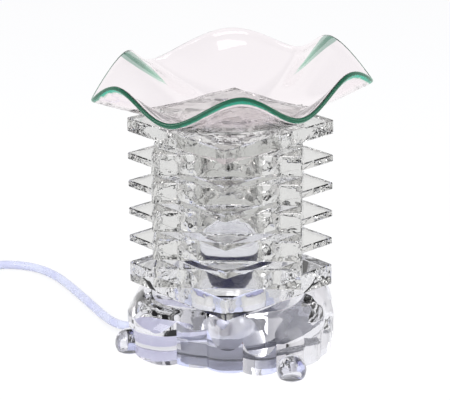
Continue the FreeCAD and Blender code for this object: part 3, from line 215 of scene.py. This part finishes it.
def buildFloor():
    shape = bmesh.new()
    bmesh.ops.create_grid(shape, x_segments=1, y_segments=1, size=studio["floorHalf"])
    mesh = bpy.data.meshes.new("studioFloor")
    shape.to_mesh(mesh)
    shape.free()
    floor = bpy.data.objects.new("studioFloor", mesh)
    bpy.context.scene.collection.objects.link(floor)
    material = bpy.data.materials.new("paleFloor")
    material.use_nodes = True
    tree = material.node_tree
    shader = tree.nodes["Principled BSDF"]
    shader.inputs["Base Color"].default_value = studio["floorColour"]
    shader.inputs["Roughness"].default_value = studio["floorRoughness"]
    glow = tree.nodes.new("ShaderNodeEmission")
    glow.inputs["Color"].default_value = (1, 1, 1, 1)
    mixer = tree.nodes.new("ShaderNodeMixShader")
    seen = calc(tree, "MULTIPLY", seenBy(tree)[1], studio["floorGlow"])
    tree.links.new(seen, mixer.inputs["Fac"])
    tree.links.new(shader.outputs[0], mixer.inputs[1])
    tree.links.new(glow.outputs[0], mixer.inputs[2])
    tree.links.new(mixer.outputs[0], tree.nodes["Material Output"].inputs["Surface"])
    mesh.materials.append(material)


bpy.context.scene.view_settings.view_transform = "Standard"
bpy.context.scene.cycles.max_bounces = studio["bounces"]  # glass stands behind glass
bpy.context.scene.cycles.transmission_bounces = studio["bounces"]
bpy.context.scene.cycles.transparent_max_bounces = studio["bounces"]
buildCamera()
buildWorld()
buildFloor()
addSoftbox("keyBox")
addSoftbox("fillBox")
addSoftbox("topBox").visible_glossy = False
print("studio ready")


# tower and base
tower = {
    "side": 80.0,
    "turn": -3.0,
    "bottom": 30.7,
    "top": 126.5,
    "levelFace": 0.98,
    "colour": (0.72, 0.72, 0.705, 1),
    "cells": 240.0,
    "cellSmoothness": 0.4,
    "chipDepth": 0.0009,
    "plateChips": 0.6,
    "spacerChips": 0.34,
    "chipFaces": (0.3, 0.8),
    "chipReach": (16.0, 34.0),
    "chipLeast": 0.35,
    "waves": 90.0,
    "waveDetail": 1.5,
    "waveDepth": 0.0004,
    "waveStrength": 0.35,
}


def buildBondedGroup():  # closed where squares are cemented together: light goes straight through
    group, _, leave = addGroup("bondedFace", {}, ["Open"])
    geometry = group.nodes.new("ShaderNodeNewGeometry")
    coords = group.nodes.new("ShaderNodeTexCoord")
    turned = group.nodes.new("ShaderNodeVectorRotate")
    turned.rotation_type = "Z_AXIS"
    turned.inputs["Angle"].default_value = math.radians(-tower["turn"])
    group.links.new(coords.outputs["Object"], turned.inputs["Vector"])
    place = group.nodes.new("ShaderNodeSeparateXYZ")
    group.links.new(turned.outputs[0], place.inputs[0])
    facing = group.nodes.new("ShaderNodeSeparateXYZ")
    group.links.new(geometry.outputs["True Normal"], facing.inputs[0])
    across = calc(group, "ABSOLUTE", place.outputs["X"])
    along = calc(group, "ABSOLUTE", place.outputs["Y"])
    half = tower["side"] / 2 * mm
    inSquare = calc(group, "LESS_THAN", calc(group, "MAXIMUM", across, along), half)
    inDiamond = calc(group, "LESS_THAN", calc(group, "ADD", across, along), half * math.sqrt(2))
    level = calc(group, "ABSOLUTE", facing.outputs["Z"])
    flat = calc(group, "GREATER_THAN", level, tower["levelFace"])
    under = calc(group, "LESS_THAN", place.outputs["Z"], tower["top"] * mm)
    over = calc(group, "GREATER_THAN", place.outputs["Z"], tower["bottom"] * mm)
    within = calc(group, "MULTIPLY", inSquare, inDiamond)
    between = calc(group, "MULTIPLY", under, over)
    shared = calc(group, "MULTIPLY", calc(group, "MULTIPLY", within, between), flat)
    group.links.new(calc(group, "SUBTRACT", 1.0, shared), leave.inputs["Open"])
    return group


def buildChipGroup():  # hammered cells on the upright faces, fainter towards the middle
    group, enter, leave = addGroup("chippedEdge", {"Cells": 200.0}, ["Height"])
    coords = group.nodes.new("ShaderNodeTexCoord")
    cells = group.nodes.new("ShaderNodeTexVoronoi")
    cells.feature = "SMOOTH_F1"
    cells.inputs["Smoothness"].default_value = tower["cellSmoothness"]
    group.links.new(coords.outputs["Object"], cells.inputs["Vector"])
    group.links.new(enter.outputs["Cells"], cells.inputs["Scale"])
    geometry = group.nodes.new("ShaderNodeNewGeometry")
    facing = group.nodes.new("ShaderNodeSeparateXYZ")
    group.links.new(geometry.outputs["Normal"], facing.inputs[0])
    level = calc(group, "ABSOLUTE", facing.outputs["Z"])
    side = calc(group, "SUBTRACT", 1.0, rangeOf(group, level, *tower["chipFaces"]))
    place = group.nodes.new("ShaderNodeSeparateXYZ")
    group.links.new(coords.outputs["Object"], place.inputs[0])
    near, far = tower["chipReach"]
    least = tower["chipLeast"]
    ear = rangeOf(group, calc(group, "ABSOLUTE", place.outputs["X"]), near * mm, far * mm)
    rough = calc(group, "ADD", calc(group, "MULTIPLY", ear, 1 - least), least)
    rough = calc(group, "MULTIPLY", side, rough)
    height = calc(group, "MULTIPLY", rough, cells.outputs["Distance"])
    group.links.new(height, leave.inputs["Height"])
    return group


def buildWaveGroup():  # slow swells left by pressing and fire polishing
    group, enter, leave = addGroup("pressedWaves", {"Waves": 60.0}, ["Height"])
    coords = group.nodes.new("ShaderNodeTexCoord")
    waves = group.nodes.new("ShaderNodeTexNoise")
    waves.inputs["Detail"].default_value = tower["waveDetail"]
    group.links.new(coords.outputs["Object"], waves.inputs["Vector"])
    group.links.new(enter.outputs["Waves"], waves.inputs["Scale"])
    group.links.new(waves.outputs["Fac"], leave.inputs["Height"])
    return group


bonded = buildBondedGroup()
chipped = buildChipGroup()
pressed = buildWaveGroup()


def addBump(tree, height, distance, strength, before=None):
    bump = tree.nodes.new("ShaderNodeBump")
    bump.inputs["Distance"].default_value = distance
    bump.inputs["Strength"].default_value = strength
    tree.links.new(height, bump.inputs["Height"])
    if before:
        tree.links.new(before, bump.inputs["Normal"])
    return bump.outputs["Normal"]


def letLightIn(tree, shader, opening=None):  # light reaches what stands behind the glass
    path = tree.nodes.new("ShaderNodeLightPath")
    through = calc(tree, "MAXIMUM", path.outputs["Is Shadow Ray"], path.outputs["Is Diffuse Ray"])
    kept = calc(tree, "SUBTRACT", 1.0, through)
    if opening:
        kept = calc(tree, "MULTIPLY", kept, opening)
    tree.links.new(kept, shader.inputs["Alpha"])


def buildTowerGlass(name, chips):
    material, tree, shader = newGlass(name, tower["colour"])
    waves = placeGroup(tree, pressed, Waves=tower["waves"])
    cells = placeGroup(tree, chipped, Cells=tower["cells"])
    normal = addBump(tree, waves.outputs["Height"], tower["waveDepth"], tower["waveStrength"])
    normal = addBump(tree, cells.outputs["Height"], tower["chipDepth"], chips, normal)
    tree.links.new(normal, shader.inputs["Normal"])
    letLightIn(tree, shader, placeGroup(tree, bonded).outputs["Open"])
    return material


base = {
    "colour": (0.85, 0.85, 0.895, 1),
    "waves": 55.0,
    "waveDepth": 0.001,
    "waveStrength": 0.36,
}


def buildBaseGlass():
    material, tree, shader = newGlass("baseGlass", base["colour"])
    waves = placeGroup(tree, pressed, Waves=base["waves"])
    normal = addBump(tree, waves.outputs["Height"], base["waveDepth"], base["waveStrength"])
    tree.links.new(normal, shader.inputs["Normal"])
    letLightIn(tree, shader, placeGroup(tree, bonded).outputs["Open"])
    return material


def setMaterial(name, material):
    for place in nodes[name].material_slots:
        place.material = material


plateGlass = buildTowerGlass("plateGlass", tower["plateChips"])
spacerGlass = buildTowerGlass("spacerGlass", tower["spacerChips"])
for name in nodes:
    if name.startswith(("bottom_plate", "thin_plate", "top_plate")):
        setMaterial(name, plateGlass)
    elif name.startswith("spacer"):
        setMaterial(name, spacerGlass)
setMaterial("base_block", buildBaseGlass())
print("tower and base glazed")


# dish
dish = {
    "merge": 0.000002,
    "sector": 2,
    "lip": 1.6,
    "lipFade": 0.5,
    "lipFacing": 0.4,
    "lipRoughness": 0.22,
    # painted streaks for the green lines seen where folds of the glass are viewed edge-on
    "streaks": [  # from x and y, to x and y, widths to the right and left
        (-61.0, 30.0, -35.0, 30.0, 9.0, 0.8), (60.0, 31.0, 36.0, 39.5, 0.8, 6.5),
    ],
    "streakStart": (-0.2, 0.4),
    "streakEnd": (0.6, 1.05),
    "streakEdge": (-0.1, 0.6),
    "streakFade": (0.3, 1.0),
    "streakNear": (0.20, 0.35, 0.28, 1),
    "streakFar": (0.26, 0.62, 0.43, 1),
    "colour": (1.0, 0.955, 0.97, 1),
    "edgeColour": (0.0, 0.18, 0.088, 1),
    # painted glow: emission strength of the emerald lip
    "paintedEdgeGlow": 0.55,
    "tint": (0.74, 0.66, 0.66, 1),
    "tintDensity": 30.0,
    "waves": 40.0,
    "waveDepth": 0.0004,
    "waveStrength": 0.15,
}


def copyNode(name):  # a merged, smooth copy of a node's mesh to work on
    shape = bmesh.new()
    shape.from_mesh(nodes[name].data)
    bmesh.ops.remove_doubles(shape, verts=shape.verts, dist=dish["merge"])
    bmesh.ops.recalc_face_normals(shape, faces=shape.faces)
    for face in shape.faces:
        face.smooth = True
    return shape


def smoothStep(value, low, high):
    part = min(1, max(0, (value - low) / (high - low)))
    return part * part * (3 - 2 * part)


def buildPaintedStreakGroup():  # a leaf-shaped painted streak between two points in millimetres, standing in for the green line seen where a fold of the glass is viewed edge-on
    inputs = {"From X": 0.0, "From Y": 0.0, "To X": 1.0, "To Y": 0.0, "Right": 2.0, "Left": 2.0}
    group, enter, leave = addGroup("paintedFoldStreak", inputs, ["Mask", "Share"])
    coords = group.nodes.new("ShaderNodeTexCoord")
    place = group.nodes.new("ShaderNodeSeparateXYZ")
    group.links.new(coords.outputs["Object"], place.inputs[0])

    def times(first, second):
        return calc(group, "MULTIPLY", first, second)

    def less(first, second):
        return calc(group, "SUBTRACT", first, second)

    def squared(value):
        return calc(group, "POWER", calc(group, "ABSOLUTE", value), 2.0)

    runX = less(enter.outputs["To X"], enter.outputs["From X"])
    runY = less(enter.outputs["To Y"], enter.outputs["From Y"])
    length = calc(group, "SQRT", calc(group, "ADD", squared(runX), squared(runY)))
    awayX = less(calc(group, "DIVIDE", place.outputs["X"], mm), enter.outputs["From X"])
    awayY = less(calc(group, "DIVIDE", place.outputs["Y"], mm), enter.outputs["From Y"])
    along = calc(group, "ADD", times(awayX, runX), times(awayY, runY))
    share = calc(group, "DIVIDE", along, calc(group, "POWER", length, 2.0))
    off = calc(group, "DIVIDE", less(times(awayX, runY), times(awayY, runX)), length)
    opening = rangeOf(group, share, *dish["streakStart"])
    closing = rangeOf(group, share, *dish["streakEnd"])
    taper = times(opening, less(1.0, closing))
    right = calc(group, "ADD", times(taper, enter.outputs["Right"]), off)
    left = less(times(taper, enter.outputs["Left"]), off)
    inside = calc(group, "MINIMUM", right, left)
    group.links.new(rangeOf(group, inside, *dish["streakEdge"]), leave.inputs["Mask"])
    group.links.new(rangeOf(group, share, *dish["streakFade"]), leave.inputs["Share"])
    return group


paintedStreak = buildPaintedStreakGroup()


def buildDish():
    shape = copyNode("dish")

    def sectorOf(place):
        turn = math.degrees(math.atan2(place.y, place.x))
        return round(turn / dish["sector"]) % (360 // dish["sector"])

    crown = {}
    for vert in shape.verts:  # the rim is the farthest point in each direction
        key = sectorOf(vert.co)
        crown[key] = max(crown.get(key, 0), vert.co.xy.length)
    layer = shape.verts.layers.float.new("lip")
    shape.normal_update()
    for vert in shape.verts:
        outward = Vector((vert.co.x, vert.co.y, 0)).normalized()
        gap = (crown[sectorOf(vert.co)] - vert.co.xy.length) / mm
        outer = smoothStep(vert.normal.dot(outward), 0.0, dish["lipFacing"])
        vert[layer] = outer * (1 - smoothStep(gap, dish["lip"], dish["lip"] + dish["lipFade"]))
    mesh = bpy.data.meshes.new("ruffledDish")
    shape.to_mesh(mesh)
    shape.free()
    piece = bpy.data.objects.new("ruffledDish", mesh)
    bpy.context.scene.collection.objects.link(piece)
    # the emerald lip shows only on outer faces turned to the camera, and glows with painted light
    # from emission
    material, tree, shader = newGlass(
        "dishGlass", dish["colour"], Emission_Strength=dish["paintedEdgeGlow"],
    )
    lip = tree.nodes.new("ShaderNodeAttribute")
    lip.attribute_name = "lip"
    geometry = tree.nodes.new("ShaderNodeNewGeometry")
    outside = calc(tree, "SUBTRACT", 1.0, geometry.outputs["Backfacing"])
    edge = calc(tree, "MULTIPLY", lip.outputs["Fac"], outside)
    # the glass colour with the painted green streaks mixed in
    paintedStreakColour = dish["colour"]
    for fromX, fromY, toX, toY, right, left in dish["streaks"]:
        step = placeGroup(
            tree, paintedStreak, From_X=fromX, From_Y=fromY, To_X=toX, To_Y=toY, Right=right, Left=left,
        )
        green = mixColours(tree, step.outputs["Share"], dish["streakNear"], dish["streakFar"])
        paintedStreakColour = mixColours(tree, step.outputs["Mask"], paintedStreakColour, green)
    tree.links.new(calc(tree, "MULTIPLY", edge, dish["lipRoughness"]), shader.inputs["Roughness"])
    tree.links.new(mixColours(tree, edge, paintedStreakColour, dish["edgeColour"]), shader.inputs["Base Color"])
    # painted glow: the lip's emerald is also sent out as emission
    glow = mixColours(tree, edge, (0.0, 0.0, 0.0, 1.0), dish["edgeColour"])
    tree.links.new(glow, shader.inputs["Emission Color"])
    waves = placeGroup(tree, pressed, Waves=dish["waves"])
    normal = addBump(tree, waves.outputs["Height"], dish["waveDepth"], dish["waveStrength"])
    tree.links.new(normal, shader.inputs["Normal"])
    letLightIn(tree, shader)
    tint = tree.nodes.new("ShaderNodeVolumeAbsorption")
    tint.inputs["Color"].default_value = dish["tint"]
    tint.inputs["Density"].default_value = dish["tintDensity"]
    tree.links.new(tint.outputs[0], tree.nodes["Material Output"].inputs["Volume"])
    mesh.materials.append(material)
    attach(piece, "dish")
    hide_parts("dish")


buildDish()


# lamp and fittings
lamp = {
    "bands": [  # height and colour: a pale foot, dark glass, a pale ring painted in as a reflection, dark glass, a pale rim
        (33.5, (0.42, 0.42, 0.66)), (35.0, (0.006, 0.006, 0.04)),
        # 46.3 to 49.2 mm: a painted reflection, a pale ring on the dark coat
        (45.8, (0.006, 0.006, 0.04)), (46.3, (0.82, 0.82, 0.88)),
        (49.2, (0.82, 0.82, 0.88)), (49.7, (0.006, 0.006, 0.04)),
        (57.0, (0.006, 0.006, 0.04)), (57.6, (0.7, 0.7, 0.74)),
    ],
    "low": 28.0,
    "high": 62.0,
    "inside": (0.85, 0.85, 0.88, 1),
    "insideFacing": -0.002,
    "grain": 300.0,
    "grainDepth": 0.0002,
    "grainStrength": 0.2,
    "lensColour": (0.94, 0.94, 0.98, 1),
    "lensRoughness": 0.02,
    "lensWaves": 120.0,
    "lensWaveDepth": 0.0004,
    "lensWaveStrength": 0.3,
}


def buildReflectorFinish():  # dark coat in bands outside, one of them a painted reflection, silver inside
    material, tree, shader = newMaterial("reflectorCoat", Roughness=0.2, IOR=1.3)
    coords = tree.nodes.new("ShaderNodeTexCoord")
    place = tree.nodes.new("ShaderNodeSeparateXYZ")
    tree.links.new(coords.outputs["Object"], place.inputs[0])
    level = tree.nodes.new("ShaderNodeMapRange")
    level.inputs["From Min"].default_value = lamp["low"] * mm
    level.inputs["From Max"].default_value = lamp["high"] * mm
    tree.links.new(place.outputs["Z"], level.inputs["Value"])
    ramp = tree.nodes.new("ShaderNodeValToRGB")
    for height, colour in lamp["bands"]:
        step = ramp.color_ramp.elements.new((height - lamp["low"]) / (lamp["high"] - lamp["low"]))
        step.color = (*colour, 1)
    ramp.color_ramp.elements.remove(ramp.color_ramp.elements[0])
    ramp.color_ramp.elements.remove(ramp.color_ramp.elements[-1])
    tree.links.new(level.outputs["Result"], ramp.inputs["Fac"])
    geometry = tree.nodes.new("ShaderNodeNewGeometry")
    sideways = tree.nodes.new("ShaderNodeCombineXYZ")
    tree.links.new(place.outputs["X"], sideways.inputs["X"])
    tree.links.new(place.outputs["Y"], sideways.inputs["Y"])
    spoke = tree.nodes.new("ShaderNodeVectorMath")
    spoke.operation = "DOT_PRODUCT"
    tree.links.new(geometry.outputs["Normal"], spoke.inputs[0])
    tree.links.new(sideways.outputs[0], spoke.inputs[1])
    inner = calc(tree, "LESS_THAN", spoke.outputs["Value"], lamp["insideFacing"])
    colour = mixColours(tree, inner, ramp.outputs["Color"], lamp["inside"])
    tree.links.new(colour, shader.inputs["Base Color"])
    grain = placeGroup(tree, grained, Grain=lamp["grain"])
    normal = addBump(tree, grain.outputs["Height"], lamp["grainDepth"], lamp["grainStrength"])
    tree.links.new(normal, shader.inputs["Normal"])
    return material


def buildLensGlass():
    material, tree, shader = newGlass("lensGlass", lamp["lensColour"], lamp["lensRoughness"])
    waves = placeGroup(tree, pressed, Waves=lamp["lensWaves"])
    normal = addBump(tree, waves.outputs["Height"], lamp["lensWaveDepth"], lamp["lensWaveStrength"])
    tree.links.new(normal, shader.inputs["Normal"])
    letLightIn(tree, shader)
    return material


skin = {
    "contrast": (0.3, 0.7),
    "heightDetail": 4.0,
    "toneDetail": 2.0,
    "toneShare": 0.12,
    "strength": 0.5,
}


def buildGrainGroup():  # the fine grain and slow unevenness of moulded, pressed and turned parts
    inputs = {"Grain": 900.0, "Stretch": 1.0}
    group, enter, leave = addGroup("surfaceGrain", inputs, ["Height", "Tone"])
    coords = group.nodes.new("ShaderNodeTexCoord")
    place = group.nodes.new("ShaderNodeSeparateXYZ")
    group.links.new(coords.outputs["Object"], place.inputs[0])
    drawn = group.nodes.new("ShaderNodeCombineXYZ")
    group.links.new(place.outputs["X"], drawn.inputs["X"])
    group.links.new(place.outputs["Y"], drawn.inputs["Y"])
    upright = calc(group, "MULTIPLY", place.outputs["Z"], enter.outputs["Stretch"])
    group.links.new(upright, drawn.inputs["Z"])
    fine = ("Height", 1.0, skin["heightDetail"])
    slow = ("Tone", skin["toneShare"], skin["toneDetail"])
    for label, share, detail in (fine, slow):
        grain = group.nodes.new("ShaderNodeTexNoise")
        grain.inputs["Detail"].default_value = detail
        group.links.new(drawn.outputs[0], grain.inputs["Vector"])
        scale = calc(group, "MULTIPLY", enter.outputs["Grain"], share)
        group.links.new(scale, grain.inputs["Scale"])
        level = rangeOf(group, grain.outputs["Fac"], *skin["contrast"])
        group.links.new(level, leave.inputs[label])
    return group


grained = buildGrainGroup()
setMaterial("lamp_reflector", buildReflectorFinish())
lensGlass = buildLensGlass()
setMaterial("lamp_lens", lensGlass)
setMaterial("lamp_capsule", lensGlass)


# pale tone, darker tone, least and most roughness, grain, stretch, depth, metallic, transmission
fittings = {
    "lamp_base": ((0.86, 0.85, 0.83), (0.74, 0.73, 0.70), 0.35, 0.55, 700, 1, 0.0001, 0, 0),
    "lamp_holder": ((0.80, 0.83, 0.98), (0.70, 0.73, 0.93), 0.30, 0.42, 900, 1, 0.00005, 0, 0),
    "foot_pads": ((0.95, 0.95, 0.97), (0.84, 0.84, 0.87), 0.12, 0.22, 500, 1, 0.00008, 0, 0.8),
    "strain_relief": ((0.56, 0.56, 0.65), (0.44, 0.43, 0.54), 0.35, 0.5, 900, 1, 0.00006, 0, 0),
    "holder_bracket": ((0.78, 0.78, 0.80), (0.62, 0.62, 0.65), 0.22, 0.38, 500, 0.1, 0.00005, 1, 0),
    "bracket_screws": ((0.80, 0.80, 0.80), (0.55, 0.55, 0.57), 0.18, 0.32, 900, 4, 0.00004, 1, 0),
    "holder_screws": ((0.80, 0.80, 0.80), (0.55, 0.55, 0.57), 0.18, 0.32, 900, 4, 0.00004, 1, 0),
    "holder_contacts": ((0.86, 0.70, 0.38), (0.66, 0.50, 0.24), 0.20, 0.36, 600, 0.2, 0.00004, 1, 0),
    "lamp_pins": ((0.80, 0.78, 0.74), (0.62, 0.60, 0.57), 0.18, 0.30, 900, 0.1, 0.00003, 1, 0),
    "crimp_sleeves": ((0.76, 0.77, 0.80), (0.58, 0.58, 0.61), 0.25, 0.40, 900, 2, 0.00004, 1, 0),
    "live_lead": ((0.36, 0.05, 0.05), (0.24, 0.03, 0.03), 0.35, 0.5, 800, 1, 0.00005, 0, 0),
    "neutral_lead": ((0.72, 0.72, 0.80), (0.58, 0.58, 0.68), 0.35, 0.5, 800, 1, 0.00005, 0, 0),
    "dimmer_upper_half": ((0.86, 0.86, 0.90), (0.77, 0.77, 0.82), 0.34, 0.5, 1100, 1, 0.0001, 0, 0),
    "dimmer_lower_half": ((0.84, 0.84, 0.88), (0.75, 0.75, 0.80), 0.34, 0.5, 1100, 1, 0.0001, 0, 0),
    "dimmer_wheel": ((0.30, 0.30, 0.34), (0.20, 0.20, 0.23), 0.38, 0.55, 900, 1, 0.00008, 0, 0),
    "dimmer_axle": ((0.70, 0.70, 0.72), (0.52, 0.52, 0.54), 0.2, 0.35, 900, 0.1, 0.00003, 1, 0),
    "dimmer_board": ((0.07, 0.22, 0.12), (0.04, 0.15, 0.08), 0.4, 0.55, 600, 1, 0.00005, 0, 0),
    "dimmer_screws": ((0.74, 0.74, 0.75), (0.52, 0.52, 0.54), 0.2, 0.35, 900, 4, 0.00004, 1, 0),
    "plug_body": ((0.86, 0.86, 0.90), (0.77, 0.77, 0.82), 0.32, 0.46, 1000, 1, 0.00008, 0, 0),
    "plug_blades": ((0.82, 0.78, 0.66), (0.64, 0.60, 0.50), 0.18, 0.32, 700, 0.1, 0.00003, 1, 0),
}


def makeFinish(
    name, pale, dark, leastRough, mostRough, grain, stretch, depth, metallic, transmission,
):
    material, tree, shader = newMaterial(
        name + "Finish", Metallic=float(metallic), IOR=1.47,
        Transmission_Weight=float(transmission),
    )
    surface = placeGroup(tree, grained, Grain=float(grain), Stretch=float(stretch))
    colour = mixColours(tree, surface.outputs["Tone"], (*pale, 1), (*dark, 1))
    tree.links.new(colour, shader.inputs["Base Color"])
    rough = calc(tree, "MULTIPLY", surface.outputs["Tone"], mostRough - leastRough)
    tree.links.new(calc(tree, "ADD", rough, leastRough), shader.inputs["Roughness"])
    normal = addBump(tree, surface.outputs["Height"], depth, skin["strength"])
    tree.links.new(normal, shader.inputs["Normal"])
    return material, colour


for name, values in fittings.items():
    setMaterial(name, makeFinish(name, *values)[0])


cover = {
    "skin": ((1.0, 1.0, 1.0), (0.94, 0.94, 0.98), 0.34, 0.46, 800, 1, 0.00008, 0, 0.7),
    # painted shade: the dark tone on the outer wall and the flange front
    "wall": (0.33, 0.335, 0.40, 1),
    "wallReach": (28.1, 28.5),
    "flange": (0.80, 0.80, 0.84, 1),
    "flangeTop": (2.5, 2.7),
    "paintedShadeFront": (-20.0, -14.0),
}


def finishCover():  # white inside, with painted shade on its outer wall and on the front of its flange
    material, colour = makeFinish("bottom_cover", *cover["skin"])
    tree = material.node_tree
    coords = tree.nodes.new("ShaderNodeTexCoord")
    place = tree.nodes.new("ShaderNodeSeparateXYZ")
    tree.links.new(coords.outputs["Object"], place.inputs[0])
    sideways = tree.nodes.new("ShaderNodeCombineXYZ")
    tree.links.new(place.outputs["X"], sideways.inputs["X"])
    tree.links.new(place.outputs["Y"], sideways.inputs["Y"])
    reach = tree.nodes.new("ShaderNodeVectorMath")
    reach.operation = "LENGTH"
    tree.links.new(sideways.outputs[0], reach.inputs[0])

    def between(value, name):
        low, high = cover[name]
        return rangeOf(tree, value, low * mm, high * mm)

    outer = between(reach.outputs["Value"], "wallReach")
    above = between(place.outputs["Z"], "flangeTop")
    front = calc(tree, "SUBTRACT", 1.0, between(place.outputs["Y"], "paintedShadeFront"))
    # painted shade on the outer wall, pale flange below it except at the front
    outside = mixColours(tree, calc(tree, "MAXIMUM", above, front), cover["flange"], cover["wall"])
    shader = tree.nodes["Principled BSDF"]
    tree.links.new(mixColours(tree, outer, colour, outside), shader.inputs["Base Color"])
    setMaterial("bottom_cover", material)


finishCover()
print("lamp and fittings finished")


# cord
cord = {
    "diameter": 5.0,
    "roundness": 6,
    "smoothness": 8,
    "skin": ((0.73, 0.76, 0.90), (0.64, 0.66, 0.86), 0.22, 0.32, 900, 1, 0.00005, 0, 0.4),
    "run": [
        (-21.6, -14.5, 5.9), (-56.4, -3.2, 5.9), (-65.0, 4.8, 4.4), (-72.0, 19.5, 2.6),
        (-79.8, 36.0, 2.5), (-88.3, 53.5, 2.5), (-97.2, 71.5, 2.5), (-106.5, 87.0, 2.5),
        (-119.0, 99.0, 2.5), (-136.0, 104.0, 2.5), (-153.0, 99.5, 2.5), (-164.5, 86.5, 4.8),
        (-168.0, 68.0, 8.0), (-168.0, 46.5, 8.0),
    ],
    "link": [(-168.0, -6.5, 8.0), (-168.0, -29.0, 7.6), (-180.4, -46.2, 3.6)],
    "lead": [(-270.2, 35.0, 4.4), (-261.5, 54.0, 2.5), (-246.0, 66.0, 6.5), (-226.0, 66.0, 6.5)],
    "coilMiddle": (-232.0, -6.6),
    "coilReach": 42.0,
    "coilPitch": 6.0,
    "layerPitch": 5.6,
    "turnsIn": 2.5,
    "turnsOut": 2.25,
    "climb": 0.5,
    "pointsPerTurn": 12,
}


def coilPoint(turn):  # inwards in the lower layer, up in half a turn, outwards in the upper layer
    low = cord["diameter"] / 2
    turnsIn = cord["turnsIn"]
    pitch = cord["coilPitch"]
    inner = cord["coilReach"] - pitch * turnsIn
    if turn <= turnsIn:
        reach, level = cord["coilReach"] - pitch * turn, low
    elif turn <= turnsIn + cord["climb"]:
        part = (turn - turnsIn) / cord["climb"]
        reach = inner - pitch * cord["climb"] * (part - part ** 2)
        level = low + cord["layerPitch"] * (3 * part ** 2 - 2 * part ** 3)
    else:
        reach, level = inner + pitch * (turn - turnsIn - cord["climb"]), low + cord["layerPitch"]
    angle = -math.pi / 2 - 2 * math.pi * turn
    # the drawn line runs a little inside its control points
    reach /= (3 + math.cos(2 * math.pi / cord["pointsPerTurn"])) / 4
    x, y = cord["coilMiddle"]
    return (x + reach * math.cos(angle), y + reach * math.sin(angle), level)


def addCord(name, points, material):
    curve = bpy.data.curves.new(name, "CURVE")
    curve.dimensions = "3D"
    curve.bevel_depth = cord["diameter"] / 2 * mm
    curve.bevel_resolution = cord["roundness"]
    curve.use_fill_caps = True
    spline = curve.splines.new("NURBS")
    spline.points.add(len(points) - 1)
    for point, place in zip(spline.points, points):
        point.co = (*[value * mm for value in place], 1)
    spline.order_u = 3
    spline.use_endpoint_u = True
    spline.resolution_u = cord["smoothness"]
    piece = bpy.data.objects.new(name, curve)
    bpy.context.scene.collection.objects.link(piece)
    curve.materials.append(material)
    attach(piece, "warmer")
    return piece


tie = {
    "turn": 210.0,
    "near": 24.9,
    "far": 44.1,
    "top": 11.1,
    "width": 4.0,
    "thick": 0.5,
    "corner": 2.4,
    "cornerSteps": 6,
    "tail": 10.0,
    "tailReach": 36.0,
    "tailLift": 0.9,
    "tailOverlap": 2.0,
    "tailHalves": (1.1, 0.3),
    "tailTurns": 1.5,
    "tailSteps": 24,
    "skin": ((0.95, 0.95, 0.94), (0.86, 0.86, 0.84), 0.4, 0.6, 700, 1, 0.0001, 0, 0),
}


def addTie():  # a flat band round all the turns, its ends twisted together on top
    turn = math.radians(tie["turn"])
    spoke = Vector((math.cos(turn), math.sin(turn), 0))
    side = Vector((-math.sin(turn), math.cos(turn), 0))
    middle = Vector((*cord["coilMiddle"], 0))
    corner, half, thick = tie["corner"], tie["width"] / 2, tie["thick"]

    def spot(reach, level, across):
        return (middle + spoke * reach + side * across + Vector((0, 0, level))) * mm

    def join(shape, rings, closed):
        last = len(rings) if closed else len(rings) - 1
        for step in range(last):
            first, second = rings[step], rings[(step + 1) % len(rings)]
            for edge in range(4):
                after = (edge + 1) % 4
                shape.faces.new((first[edge], first[after], second[after], second[edge]))
        if not closed:
            shape.faces.new(rings[0])
            shape.faces.new(rings[-1])

    shape = bmesh.new()
    rings = []
    near, far, top = tie["near"] + corner, tie["far"] - corner, tie["top"] - corner
    centres = [(near, corner, 180), (far, corner, 270), (far, top, 0), (near, top, 90)]
    section = ((corner - thick, -half), (corner - thick, half), (corner, half), (corner, -half))
    for reach, level, start in centres:
        for step in range(tie["cornerSteps"] + 1):
            angle = math.radians(start + 90 / tie["cornerSteps"] * step)
            ring = []
            for off, across in section:
                out, rise = off * math.cos(angle), off * math.sin(angle)
                ring.append(shape.verts.new(spot(reach + out, level + rise, across)))
            rings.append(ring)
    join(shape, rings, True)
    rings = []
    halfWide, halfThick = tie["tailHalves"]
    section = (
        (-halfWide, -halfThick), (halfWide, -halfThick),
        (halfWide, halfThick), (-halfWide, halfThick),
    )
    for step in range(tie["tailSteps"] + 1):
        share = step / tie["tailSteps"]
        angle = 2 * math.pi * tie["tailTurns"] * share
        across = half - tie["tailOverlap"] + tie["tail"] * share
        ring = []
        for flat, thin in section:
            reach = tie["tailReach"] + flat * math.cos(angle) - thin * math.sin(angle)
            level = tie["top"] + tie["tailLift"] + flat * math.sin(angle) + thin * math.cos(angle)
            ring.append(shape.verts.new(spot(reach, level, across)))
        rings.append(ring)
    join(shape, rings, False)
    bmesh.ops.recalc_face_normals(shape, faces=shape.faces)
    mesh = bpy.data.meshes.new("coilTie")
    shape.to_mesh(mesh)
    shape.free()
    mesh.materials.append(makeFinish("coilTie", *tie["skin"])[0])
    piece = bpy.data.objects.new("coilTie", mesh)
    bpy.context.scene.collection.objects.link(piece)
    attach(piece, "warmer")
    return piece


cordSkin = makeFinish("cord", *cord["skin"])[0]
allTurns = cord["turnsIn"] + cord["climb"] + cord["turnsOut"]
steps = round(allTurns * cord["pointsPerTurn"])
coilPoints = [coilPoint(step / cord["pointsPerTurn"]) for step in range(steps + 1)]
runPiece = addCord("cordRun", cord["run"], cordSkin)
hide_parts("cord_run", "cord_tail")
farPiece = addCord("cordCoil", [*cord["link"], *coilPoints, *cord["lead"]], cordSkin)
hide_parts("cord_link", "cord_coil", "cord_lead")
addTie()
print("cord laid")
